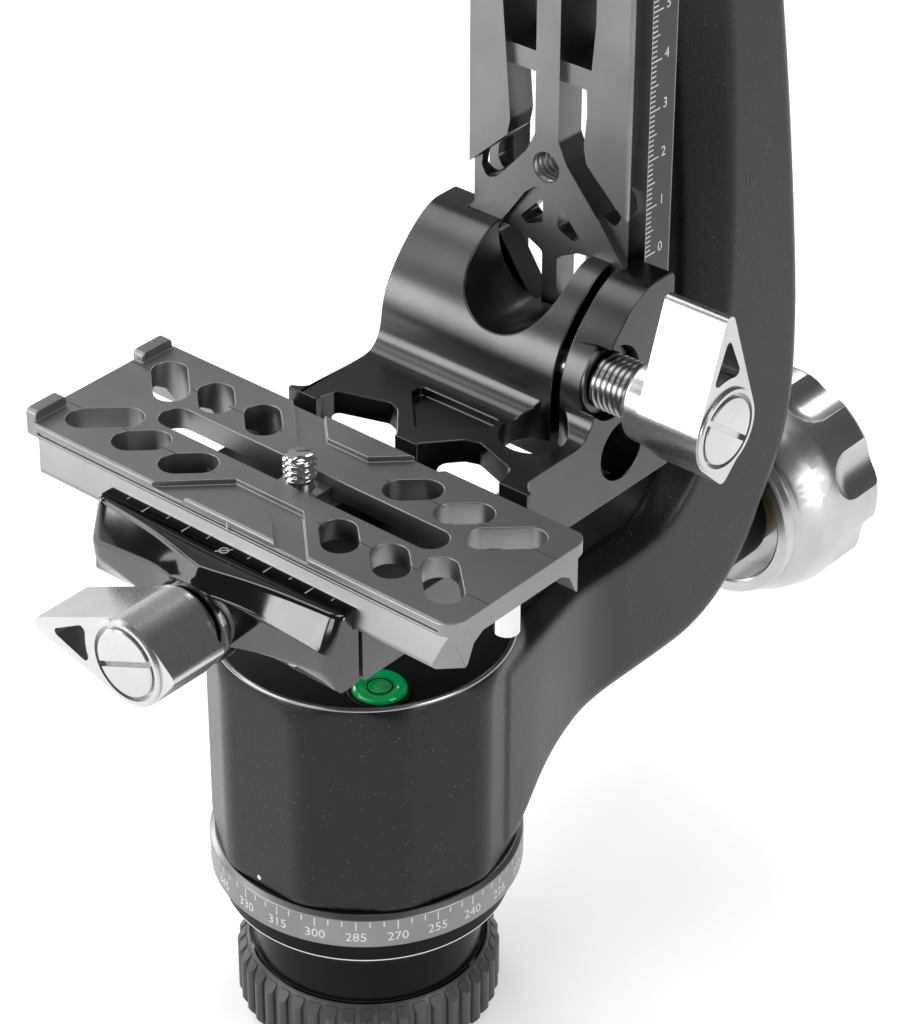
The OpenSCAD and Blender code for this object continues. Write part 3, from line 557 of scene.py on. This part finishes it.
class Marks:
    """Many small printed marks as one mesh. Each mark is laid out in (x, y, height) and placed by a function."""

    def __init__(self):
        self.vs, self.fs = [], []

    def add(self, verts, faces, place):
        k = len(self.vs)
        self.vs += [place(*v) for v in verts]
        self.fs += [[k + i for i in f] for f in faces]

    def bar(self, x0, x1, y0, y1, place, h=0.024):
        v = [(x, y, z) for z in (-0.02, h) for x, y in ((x0, y0), (x1, y0), (x1, y1), (x0, y1))]
        self.add(v, [(3, 2, 1, 0), (4, 5, 6, 7), (0, 1, 5, 4), (1, 2, 6, 5), (2, 3, 7, 6), (3, 0, 4, 7)], place)

    def ring(self, x, y, r0, r1, place, n=32, h=0.024):
        v, f = [], []
        for i in range(n):
            a = 2 * math.pi * i / n
            c, q = math.cos(a), math.sin(a)
            v += [(x + r0 * c, y + r0 * q, -0.02), (x + r1 * c, y + r1 * q, -0.02), (x + r1 * c, y + r1 * q, h), (x + r0 * c, y + r0 * q, h)]
        for i in range(n):
            j = (i + 1) % n
            for k in range(4):
                m = (k + 1) % 4
                f.append((4 * i + k, 4 * i + m, 4 * j + m, 4 * j + k))
        self.add(v, f, place)

    def disc(self, x, y, r, place, n=24, h=0.024):
        v = [(x + r * math.cos(2 * math.pi * i / n), y + r * math.sin(2 * math.pi * i / n), z) for z in (-0.02, h) for i in range(n)]
        f = [tuple(range(n))[::-1], tuple(range(n, 2 * n))] + [(i, (i + 1) % n, n + (i + 1) % n, n + i) for i in range(n)]
        self.add(v, f, place)

    def make(self, name, key, body):
        ob = fix_normals(obj_from(name, self.vs, self.fs, key))
        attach(ob, body)
        return ob


def on_ring(t, z0):
    """Round the degree ring: x runs to the right as seen from outside, y up."""
    def place(x, y, h):
        a = t + x / 30.8
        return H((30.8 + h) * math.sin(a), -(30.8 + h) * math.cos(a), z0 + y)
    return place


def degree_marks():
    mk = Marks()
    for k in range(72):
        t = 0.66 - math.radians(5 * k - 285)
        long = k % 3 == 0
        mk.bar(-0.11, 0.11, 4.3 if long else 5.1, 6.35, on_ring(t, 0))
        if long:
            v, f = glyphs(str(5 * k), 2.85)
            mk.add(v, f, on_ring(t, 2.55))
    return mk.make("degree_marks", "ink", "base")


def rail_marks():
    mk = Marks()
    top = 106

    def place(x, y, h):
        return H(19.0 + h, 58.8 + x, 114.8 + y)
    for k in range(top + 1):
        n = 3.1 if k % 10 == 0 else (2.3 if k % 5 == 0 else 1.55)
        mk.bar(0.02, n, k - 0.13, k + 0.13, place)
        if k % 10 == 0:
            v, f = glyphs(str(k // 10), 2.9)
            mk.add([(x + 4.6, y + k + 0.55, z) for x, y, z in v], f, place)
    return mk.make("rail_scale", "ink", "swing")


def rail_side_painted_shade():
    """Dark strips on the rail's sides, under the scale: painted shade that keeps the sides dark where the grey rail
    would reflect the bright floor.
    """
    obs = []
    for side in (-1, 1):
        x0, x1 = sorted((side * 18.97, side * 19.011))
        obs.append(prism("band", [(x0, 59.1), (x1, 59.1), (x1, 66.1), (x0, 66.1)], BAND[0], BAND[1]))
    ob = fix_normals(joined("rail_side_shade_strip", obs, "plastic"))
    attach(ob, "swing")
    return ob


def jaw_marks():
    mk = Marks()

    def place(x, y, h):
        return H(-0.9 + x, -33.9 - y, 88.0 + h)
    for k in (-25, -20, -15, -10, -5, 5, 10, 15, 20, 25):
        mk.bar(k - 0.12, k + 0.12, 0.1, 2.3 if k % 10 == 0 else 1.0, place)
    mk.ring(0, 1.75, 0.72, 0.98, place)
    mk.add([(-1.15, 2.9, -0.02), (-0.95, 3.1, -0.02), (1.15, 0.6, -0.02), (0.95, 0.4, -0.02), (-1.15, 2.9, 0.024), (-0.95, 3.1, 0.024), (1.15, 0.6, 0.024), (0.95, 0.4, 0.024)],
           [(0, 1, 2, 3), (7, 6, 5, 4), (0, 4, 5, 1), (1, 5, 6, 2), (2, 6, 7, 3), (3, 7, 4, 0)], place)
    return mk.make("jaw_marks", "ink", "jaw")


def index_dot():
    mk = Marks()
    a = math.atan2(-30.3, -1.3)

    def place(x, y, h):
        r = 29.46 if h > 0 else 29.15
        b = a + x / 30.0
        return H(r * math.cos(b), r * math.sin(b), 9.8 + y)
    mk.disc(0, 0, 0.52, place, h=0.05)
    return mk.make("index_dot", "ink", "arm")


def plate_marks():
    mk = Marks()

    def side(x, y, h):
        return H(x, -34.4 - h, 94.9 + y)
    mk.bar(-1.35, -1.05, -3.4, -1.75, side, h=0.012)
    return mk.make("plate_index", "ink", "plate")


def plate_lines():
    """Fine engraved lines that join the slots."""
    mk = Marks()

    def place(x, y, h):
        return H(-0.8 + x, -15.6 + y, 94.0 + h)
    for s in (-1, 1):
        for y in (-9.1, 9.1):
            mk.bar(*sorted((s * 12.4, s * 14.4)), y - 0.13, y + 0.13, place, h=0.006)
            mk.bar(*sorted((s * 22.3, s * 26.5)), y - 0.13, y + 0.13, place, h=0.006)
            mk.bar(*sorted((s * 34.4, s * 36.0)), y - 0.13, y + 0.13, place, h=0.006)
            mk.bar(*sorted((s * 46.8, s * 51.9)), y - 0.13, y + 0.13, place, h=0.006)
    return mk.make("plate_lines", "line", "plate")


# ---------------------------------------------------------------- turned and threaded pieces
def ridge(h, pitch, a):
    """0 at a thread's root, 1 at its crest."""
    f = (h / pitch - a / (2 * math.pi)) % 1.0
    return max(0.0, 1.0 - abs(f - 0.5) * 2.6)


def threaded(name, r0, r1, z0, z1, pitch, origin, axis, key, body, lead=0.5, n=48, per=10):
    steps = int((z1 - z0) / pitch * per)
    prof = [(0, z0)] + [(r1, z0 + (z1 - z0) * i / steps) for i in range(steps + 1)] + [(0, z1)]

    def radius(r, h, a):
        fade = max(0.0, min(1.0, (z1 - h) / lead))
        return r0 + (r1 - r0) * ridge(h, pitch, a) * fade - (1 - fade) * 0.25
    ob = fix_normals(lathe(name, prof, n=n, origin=origin, axis=axis, key=key, radius=radius))
    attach(ob, body)
    return ob


def inner_thread(name, r, depth, y0, y1, pitch, x, z, key, body, n=56, per=10):
    """A thread's ribs inside a bore that runs along Y."""
    steps = int((y1 - y0) / pitch * per)
    vs, fs = [], []
    for side in (0, 1):
        for i in range(steps + 1):
            h = y0 + (y1 - y0) * i / steps
            for k in range(n):
                a = 2 * math.pi * k / n
                fade = min(1.0, (h - y0) / 0.6, (y1 - h) / 0.6)
                rr = r + 0.012 if side else r - 0.02 - depth * ridge(h, pitch, a) * max(0.0, fade)
                vs.append(H(x + rr * math.cos(a), h, z + rr * math.sin(a)))
    m = (steps + 1) * n
    for side in (0, 1):
        for i in range(steps):
            for k in range(n):
                j = (k + 1) % n
                q = (side * m + i * n + k, side * m + i * n + j, side * m + (i + 1) * n + j, side * m + (i + 1) * n + k)
                fs.append(q)
    for i in (0, steps):
        for k in range(n):
            j = (k + 1) % n
            fs.append((i * n + k, i * n + j, m + i * n + j, m + i * n + k))
    ob = fix_normals(obj_from(name, vs, fs, key))
    for q in ob.data.polygons:
        q.use_smooth = True
    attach(ob, body)
    return ob


def smooth_by(ob, angle=35):
    for q in ob.data.polygons:
        q.use_smooth = True
    ob.data.set_sharp_from_angle(angle=math.radians(angle))
    return ob


def turned(name, prof, key, body, n=128, origin=(0, 0, 0), axis="Z", closed=False, angle=35, node=None):
    ob = smooth_by(fix_normals(lathe(name, prof, n=n, origin=origin, axis=axis, key=key, closed=closed)), angle)
    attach(ob, body)
    if node:
        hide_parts(node)
    return ob


def hero(name, node, body, key, ob):
    ob.name = name
    ob.data.name = name
    paint(ob, key)
    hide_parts(node)
    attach(ob, body)
    return ob


# ---------------------------------------------------------------- lever knobs
def tear(R, d1, r1, d2, r2):
    a1 = math.degrees(math.acos((R - r1) / d1))
    a2 = math.degrees(math.acos((R - r2) / d2))
    return arc((d1, 0), r1, -a1, a1, 12) + arc((0, 0), R, a1 + 4, 176 - a2, 26) + arc((-d2, 0), r2, 180 - a2, 180 + a2, 9) + arc((0, 0), R, 184 + a2, 356 - a1, 26)


def build_lever(name, node, body, length, wing, mat):
    """A winged knob: turned hub, raised face ring round the inset cap, flat wing with a three-sided window."""
    face = length - 0.62
    z = -FOOT  # the helpers below lift by the foot height; the lever is made at the origin
    wingp = prism("w", tear(8.75, 22, 1.5, 10, 1.5), wing + z, face + z)
    hub = lathe("h", [(0, 0 + z), (7.0, 0 + z), (7.5, 0.2 + z), (8.3, 1.15 + z), (8.4, 1.5 + z), (8.4, face - 1 + z), (8.4, face + 0.1 + z), (8.4, length - 0.3 + z), (8.1, length + z), (0, length + z)], n=128)
    ob = cut(fix_normals(wingp), fix_normals(hub), "UNION")
    win = round_poly([(10.4 * math.cos(math.radians(a)), 10.4 * math.sin(math.radians(a))) for a in (-26, -17, -8.5, 0, 8.5, 17, 26)] + [(19.4, 0)], [1, 0.01, 0.01, 0.01, 0.01, 0.01, 1, 0.8], 5)
    cut(ob, fix_normals(prism("c", win, wing - 1 + z, length + 2 + z)))
    cut(ob, fix_normals(lathe("c", [(0, length - 1.3 + z), (7.4, length - 1.3 + z), (7.4, length + 3 + z), (0, length + 3 + z)], n=96)))
    cut(ob, fix_normals(lathe("c", [(0, -1 + z), (3.02, -1 + z), (3.02, length + z), (0, length + z)], n=48)))
    ob.data.transform(mat)
    b = ob.modifiers.new("edge", "BEVEL")
    b.width = 0.42 * MM
    b.limit_method = "ANGLE"
    b.angle_limit = math.radians(38)
    b.segments = 3
    b.harden_normals = True
    b.use_clamp_overlap = True
    for q in ob.data.polygons:
        q.use_smooth = True
    nrm = ob.modifiers.new("normals", "WEIGHTED_NORMAL")
    nrm.keep_sharp = True
    return hero(name, node, body, "silver", ob)


def frame_mat(origin, u, v, w):
    """Local x, y, z along u, v, w with the origin given in mm."""
    m4 = Matrix((u, v, w)).transposed().to_4x4()
    m4.translation = H(*origin)
    return m4


# ---------------------------------------------------------------- the pieces
slot_of = {s["node"]: s["material_slot"] for s in frame["record"]["subparts"]}
EDGE = {"platform_bracket": 0.5, "quick_plate": 0.32, "swing_rail": 0.28, "front_jaw": 0.55, "clamp_base": 0.35, "pan_lock_knob": 0.55, "tilt_lock_knob": 0.55, "degree_ring": 0.2}
for name, ob in nodes.items():
    paint(ob, SLOT[slot_of[name]])
    dress(ob, EDGE.get(name, 0.22), segments=3 if name in EDGE else 2)
paint(nodes["swing_rail"], "rail")
paint(nodes["pan_lock_knob"], "silver_lathe")
paint(nodes["tilt_lock_knob"], "silver_lathe")
paint(nodes["top_cap"], "plastic")
paint(nodes["quick_plate"], "plate")
paint(nodes["base_flange"], "neck")
M["neck"].node_tree.nodes["Principled BSDF"].inputs["Specular IOR Level"].default_value = 0.09

arm = build_arm()
paint(arm, "paint")
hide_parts("arm_casting")
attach(arm, "arm")

degree_marks()
rail_marks()
# painted shade on the rail's sides, under the scale
rail_side_painted_shade()
jaw_marks()
index_dot()
plate_marks()
plate_lines()

# the bright rim over the housing: a silver ring painting the highlight on the black paint's top edge; and the bright
# ring on the flange's chamfer, a painted highlight where that edge catches the light
turned("housing_rim", [(28.4, 54.4), (28.4, 54.95), (28.55, 55.1), (28.85, 55.12), (29.12, 54.95), (29.3, 54.62), (29.3, 54.4)], "rim_highlight", "arm", n=192, closed=True)
# the flange's chamfer in bright metal: a painted highlight
turned("flange_chamfer", [(26.45, -7.34), (28.62, -4.94), (28.64, -4.7), (28.4, -4.7), (26.2, -7.2)], "chamfer_highlight", "base", n=160, closed=True)
turned("collar_lip", [(23.02, -20.35), (23.4, -19.95), (23.8, -19.98), (24.15, -20.3), (24.2, -20.6), (23.02, -20.6)], "gloss_black", "base", n=128, closed=True)

# bubble level: green bowl with a black ring and a bubble under its glass
cx, cy = 15.6, -13.1
turned("vial_bowl", [(0, 50.7), (5.15, 50.7), (5.18, 53.3), (5.0, 53.9), (4.6, 54.25), (4.1, 54.3), (3.5, 54.0), (2.9, 53.72), (0, 53.66)], "green_painted_glow", "arm", n=96, origin=(cx, cy, 0), node="level_vial")
turned("vial_ring", [(2.25, 53.64), (2.25, 53.8), (2.5, 53.84), (2.62, 53.76), (2.62, 53.64)], "dark_green", "arm", n=72, origin=(cx, cy, 0), closed=True)
turned("vial_bubble", [(0, 53.6), (1.5, 53.6), (1.62, 53.7), (1.45, 53.92), (1.0, 54.06), (0, 54.12)], "bubble", "arm", n=48, origin=(cx + 0.5, cy + 0.3, 0))

# levers
c5, s5 = math.cos(math.radians(5)), math.sin(math.radians(5))
build_lever("rail_lever_skin", "rail_lever", "rail_clamp", 19.1, 4.7, frame_mat((33.5, 41, 98.5), Vector((0, 0, 1)), Vector((0, -1, 0)), Vector((1, 0, 0))))
build_lever("jaw_lever_skin", "jaw_lever", "jaw_clamp", 16.0, 2.8, frame_mat((-0.9, -45.3, 77.2), Vector((-c5, 0, -s5)), Vector((s5, 0, -c5)), Vector((0, -1, 0))))

# platform bracket: the solid's own cuts on a finely curved section
def build_bracket():
    curve = catmull([[54.5, 115.0], [51.4, 114.9], [48.6, 113.9], [45.6, 111.9], [42.4, 109.0], [39.6, 105.8], [37.3, 102.2], [35.8, 98.2], [35.25, 95.0], [34.7, 92.6], [33.7, 90.8], [32.2, 89.55], [30.2, 89.06], [27.4, 89.0]], 6)
    curve = [(a, min(b, 115.0)) for a, b in curve]
    back = arc((56.9, 113.4), 1.6, 0, 90, 6)
    prof = [(58.5, 72.6)] + back + curve + [(12.1, 89), (12.1, 66.6), (13.1, 66.6), (16.6, 69.0), (18.4, 70.9), (19.6, 72.1), (21.2, 72.6)]
    ob = prism("b", prof, -26.5, 26.5, axis="X")
    fix_normals(ob)
    fl = [(-29.6, 12.1), (-29.6, 12.9)] + [(-30.9 + 4.5 * math.sin(math.radians(6 * k + 18)), 17.4 - 4.4 * math.cos(math.radians(6 * k + 18))) for k in range(13)] + [(-26.4, 22)]
    fl = fl + [(-x, y) for x, y in reversed(fl)]
    cut(ob, fix_normals(prism("f", fl, 74, 88.995)), "UNION")
    cut(ob, fix_normals(prism("h", [(15.5, 60)] + arc((17, 82.5), 1.5, 180, 90, 6) + arc((40, 80), 4, 90, 0, 8) + [(44, 60)], -23.7, 23.7, axis="X")))
    cut(ob, fix_normals(prism("t", [(-20, -28), (20, -28), (20, 15.6), (-20, 15.6)], 66.6, 72.0)), "UNION")
    cut(ob, fix_normals(prism("w", [(18, 60)] + arc((20, 81.4), 2, 180, 90, 6) + arc((35, 80.4), 3, 90, 0, 6) + [(38, 60)], -30, -23, axis="X")))
    win = round_poly([(-22.6, 13.4), (-21.4, 17), (-11.2, 20.4), (-8.4, 19.4), (-2.6, 12.6), (-2.6, 10.5), (-22.6, 10.5)], [1.5, 2, 1.5, 1.8, 1, 0.5, 0.5], 6)
    cut(ob, fix_normals(prism("w", win, 80, 92)))
    cut(ob, fix_normals(prism("w", [(-x, y) for x, y in reversed(win)], 80, 92)))
    tri = round_poly([(-10.2, 28.8), (8.8, 28.8), (9.2, 26.2), (0.2, 17), (-1.6, 17), (-10.4, 26.2)], [0.8, 0.8, 0.8, 1, 1, 0.8], 5)
    cut(ob, fix_normals(prism("w", tri, 87.2, 92)))
    cut(ob, fix_normals(prism("w", [(-19.1, 52.42), (19.1, 52.42), (19.1, 53.74), (15.3, 57.54), (15.3, 60), (-15.3, 60), (-15.3, 57.54), (-19.1, 53.74)], 60, 130)))
    notch = arc((0, 112.2), NOTCH, 180, 360, 48) + [(NOTCH, 122.5), (-NOTCH, 122.5)]
    cut(ob, fix_normals(prism("n", notch, 20, 70, axis="Y")))
    cut(ob, fix_normals(prism("s", [(15.9, 26), (17.8, 26), (17.8, 66), (15.9, 66)], 74, 124)))
    cut(ob, fix_normals(lathe("r", [(0, 70), (6.4, 70), (6.4, 100.5), (0, 100.5)], n=72, origin=(17, 29, 0))))
    cut(ob, fix_normals(lathe("r", [(0, 6), (3.56, 6), (3.56, 40), (0, 40)], n=48, origin=(0, 41, 98.5), axis="X")))
    cut(ob, fix_normals(lathe("r", [(0, 23.4), (7.4, 23.4), (7.4, 30), (0, 30)], n=72, origin=(0, 41, 98.5), axis="X")))
    cut(ob, fix_normals(lathe("r", [(0, 18), (6.2, 18), (6.2, 30), (0, 30)], n=72, origin=(0, 43.8, 82.6), axis="X")))
    for x in (-11, 11):
        cut(ob, fix_normals(lathe("r", [(0, 60), (4.5, 60), (4.5, 69.6), (2.52, 69.6), (2.52, 75), (0, 75)], n=48, origin=(x, -8, 0))))
    d = ob.modifiers.new("planar", "DECIMATE")
    d.decimate_type = "DISSOLVE"
    d.angle_limit = math.radians(0.3)
    b = ob.modifiers.new("edge", "BEVEL")
    b.width = 0.28 * MM
    b.limit_method = "ANGLE"
    b.angle_limit = math.radians(34)
    b.segments = 3
    b.loop_slide = False
    b.harden_normals = True
    b.use_clamp_overlap = False
    for q in ob.data.polygons:
        q.use_smooth = True
    nrm = ob.modifiers.new("normals", "WEIGHTED_NORMAL")
    nrm.keep_sharp = True
    return hero("platform_bracket_skin", "platform_bracket", "platform", "satin_black", ob)


NOTCH = 11
build_bracket()


# front jaw: a faceted bar drawn out to the boss of the clamp screw
def build_jaw():
    # X, top edge Y, upper ridge Y and Z, lower ridge Y and Z, top Z
    st = [[0, -42.0, -44.9, 85.6, -44.9, 74.5, 88], [4, -41.2, -44.7, 85.3, -44.8, 74.6, 88], [7, -40.5, -43.9, 84.9, -43.9, 74.9, 88], [11, -39.7, -42.9, 84.2, -42.9, 75.4, 88],
          [16, -38.9, -42.1, 83.0, -42.0, 76.0, 88], [22, -38.3, -41.5, 81.7, -41.2, 76.5, 88], [27, -37.9, -41.05, 80.6, -40.6, 76.9, 88],
          [28.2, -37.75, -40.8, 80.4, -40.4, 76.9, 88], [29.1, -37.4, -40.2, 80.35, -39.9, 76.9, 87.95], [29.7, -36.9, -39.5, 80.3, -39.3, 76.9, 87.8], [30.0, -36.3, -38.9, 80.3, -38.7, 76.9, 87.6]]
    half = catmull([list(map(float, q)) for q in st[:7]], 5)[:-1] + st[6:]
    rows = [[-q[0]] + list(q[1:]) for q in reversed(half[1:])] + [list(q) for q in half]
    rings = []
    for x, yt, ym, zm, yl, zl, zt in rows:
        k = zt - 88
        q = [(-35.2, zt), (yt + 0.55, zt), (yt + 0.1, zt - 0.06), (yt - 0.3, zt - 0.3), (yt - 0.6, zt - 0.75)]
        u = Vector((ym - (yt - 0.6), zm - (zt - 0.75)))
        u.normalize()
        v = Vector((yl - ym, zl - zm))
        v.normalize()
        for t in (1.1, 0.7, 0.35):
            q.append((ym - u.x * t + 0.0, zm - u.y * t))
        q.append((ym + 0.08, zm))
        for t in (0.35, 0.7, 1.1):
            q.append((ym + v.x * t, zm + v.y * t))
        w = Vector((-38.9 - yl, 72.9 - zl))
        w.normalize()
        for t in (0.8, 0.35):
            q.append((yl - v.x * t, zl - v.y * t))
        q.append((yl + 0.06, zl))
        for t in (0.35, 0.8):
            q.append((yl + w.x * t, zl + w.y * t))
        q += [(-38.9, 72.95), (-38.5, 72.5), (-37.8, 72.25), (-35.2, 72.2)]
        rings.append([H(x - 0.9, a, b) for a, b in q])
    ob = skin("jaw", rings, "gloss_black")
    cut(ob, fix_normals(lathe("boss", [(0, -44.9), (7.9, -44.9), (8.45, -44.7), (8.6, -44.2), (8.6, -36.5), (0, -36.5)], n=128, origin=(-0.9, 0, 77.2), axis="Y")), "UNION")
    lip = prism("l", [(-33.81, 88), (-34.8, 85.3), (-34.8, 83.9), (-33.3, 83.9), (-33.3, 72.2), (-36.6, 72.2), (-36.6, 88)], -30.7, 28.9, axis="X")
    cut(ob, fix_normals(lip), "UNION")
    cut(ob, fix_normals(lathe("r", [(0, -50), (3.06, -50), (3.06, -30), (0, -30)], n=48, origin=(-0.9, 0, 77.2), axis="Y")))
    for x in (-20, 20):
        cut(ob, fix_normals(lathe("r", [(0, -40.8), (2.56, -40.8), (2.56, -30), (0, -30)], n=48, origin=(x - 0.9, 0, 77.2), axis="Y")))
    smooth_by(ob, 30)
    return hero("front_jaw_skin", "front_jaw", "jaw", "gloss_black", ob)


build_jaw()


# quick-release plate: the solid with the fine groove under its lip
def build_plate():
    ob = copy_node("quick_plate", "plate")
    for s in (-1, 1):
        lo, hi = sorted((-15.6 + s * 18.25, -15.6 + s * 19.6))
        cut(ob, fix_normals(prism("g", [(-49.5, lo), (47.9, lo), (47.9, hi), (-49.5, hi)], 91.85, 92.4)))
    dress(ob, 0.2, angle=30, segments=3)
    ob.modifiers["edge"].use_clamp_overlap = False
    ob.modifiers["edge"].loop_slide = False
    return hero("quick_plate_skin", "quick_plate", "plate", "plate", ob)


build_plate()

# inset caps of the levers, with a coin slot right across
def build_cap(name, node, body, length, turn, mat):
    z = -FOOT
    a = length - 1.28
    ob = fix_normals(lathe("cap", [(0, a + z), (6.6, a + z), (6.68, a + 1.2 + z), (6.45, a + 1.44 + z), (6.2, a + 1.49 + z), (0, a + 1.49 + z)], n=96))
    t = math.radians(turn)
    c, q = math.cos(t), math.sin(t)
    slot = [(x * c - y * q, x * q + y * c) for x, y in ((-8, -0.55), (8, -0.55), (8, 0.55), (-8, 0.55))]
    cut(ob, fix_normals(prism("s", slot, a + 0.35 + z, a + 3 + z)))
    ob.data.transform(mat)
    smooth_by(ob, 28)
    return hero(name, node, body, "silver", ob)


build_cap("rail_cap_skin", "rail_lever_cap", "rail_clamp", 19.1, 53, frame_mat((33.5, 41, 98.5), Vector((0, 0, 1)), Vector((0, -1, 0)), Vector((1, 0, 0))))
build_cap("jaw_cap_skin", "jaw_lever_cap", "jaw_clamp", 16.0, 23, frame_mat((-0.9, -45.3, 77.2), Vector((-1, 0, 0)), Vector((0, 0, -1)), Vector((0, -1, 0))))

# clamp stud with its ringed collar
prof = [(0, 7), (3.1, 7), (3.5, 7.4), (3.5, 24.6), (5.2, 24.6), (5.6, 24.9)]
for k in range(6):
    h = 25.6 + 1.25 * k
    prof += [(5.6, h), (5.12, h + 0.3), (5.12, h + 0.62), (5.6, h + 0.92)]
prof += [(5.6, 33.2), (5.35, 33.46), (3, 33.46), (3, 50.4), (0, 50.4)]
turned("rail_stud_skin", prof, "stud", "rail_clamp", n=96, origin=(0, 41, 98.5), axis="X", node="rail_lever_stud")

# camera screw: thread, shank and slotted head
qx, qy = -0.8, -15.6
prof = [(0, 85.6), (4.9, 85.6), (5.3, 86.0), (5.3, 88.25), (4.95, 88.58), (2.5, 88.58), (2.5, 94.08)]
prof += [(3.175, 94.1 + 0.1 * k) for k in range(47)] + [(0, 98.78)]


def screw_radius(r, h, a):
    if h < 94.095:
        return r
    fade = max(0.0, min(1.0, (98.75 - h) / 0.75))
    return 2.6 + 0.565 * ridge(h, 1.27, a) * fade - 0.3 * (1 - fade)


cs = fix_normals(lathe("camera_screw_skin", prof, n=72, origin=(qx, qy, 0), radius=screw_radius))
cut(cs, prism("c", [(qx - 6, qy - 0.8), (qx + 6, qy - 0.8), (qx + 6, qy + 0.8), (qx - 6, qy + 0.8)], 85, 86.6))
smooth_by(cs, 62)
hero("camera_screw_skin", "camera_screw", "camera_thumbscrew", "chrome", cs)

inner_thread("rail_thread_ribs", 3.175, 0.42, 52.75, 59.1, 1.27, 0, 129.8, "steel", "swing")

# ---------------------------------------------------------------- floor, light
fm, fnt, fp = new_mat("floor")
fnt.links.new(ramp(fnt, noise(fnt, coords(fnt), 6, 2, 0.5), [(0.3, grey(0.86)), (0.7, grey(0.88))]), fp.inputs["Base Color"])
fp.inputs["Roughness"].default_value = 0.9
fp.inputs["Emission Color"].default_value = (1, 1, 1, 1)
fp.inputs["Emission Strength"].default_value = 0.45
bm = bmesh.new()
bmesh.ops.create_grid(bm, x_segments=2, y_segments=2, size=6.0)
me = bpy.data.meshes.new("floor")
bm.to_mesh(me)
bm.free()
floor = bpy.data.objects.new("floor", me)
scene.collection.objects.link(floor)
floor.location = (0, 0, -0.0005)
floor.data.materials.append(fm)

world = bpy.data.worlds.new("studio")
scene.world = world
world.use_nodes = True
world.node_tree.nodes["Background"].inputs["Color"].default_value = (1, 1, 1, 1)
world.node_tree.nodes["Background"].inputs["Strength"].default_value = 0.09


def area(name, loc, target, size, power, shape=(1, 1)):
    l = bpy.data.lights.new(name, "AREA")
    l.shape = "RECTANGLE"
    l.size, l.size_y = size[0], size[1]
    l.energy = power
    o = bpy.data.objects.new(name, l)
    scene.collection.objects.link(o)
    o.location = loc
    d = Vector(target) - Vector(loc)
    o.rotation_euler = d.to_track_quat("-Z", "Y").to_euler()
    return o


mid = (0, 0.0, 0.12)


def softbox(name, loc, size, radiance, target=mid):
    return area(name, loc, target, size, radiance * math.pi * size[0] * size[1])


softbox("key", (-0.52, -0.92, 0.34), (0.72, 0.42), 5.0)
softbox("front", (0.10, -1.35, 0.50), (0.5, 0.4), 3.0)
softbox("left", (-1.12, 0.36, 0.62), (0.5, 0.5), 4.5)
softbox("left_low", (-1.25, -0.10, 0.22), (0.4, 0.36), 6.0)
softbox("top_left", (-0.70, -0.05, 1.10), (0.55, 0.55), 2.2)
softbox("right", (1.25, 0.05, 0.40), (0.6, 0.7), 4.5)
softbox("top", (0.1, 0.0, 1.2), (0.6, 0.5), 3.0)
softbox("back", (-0.20, 1.10, 0.95), (0.5, 0.45), 6.0)
softbox("left_front", (-0.80, -0.50, 0.72), (0.40, 0.55), 2.2)
softbox("fill", (-0.78, 0.88, 0.88), (1.0, 0.9), 0.25)
scene.view_settings.view_transform = "Standard"
scene.view_settings.look = "None"
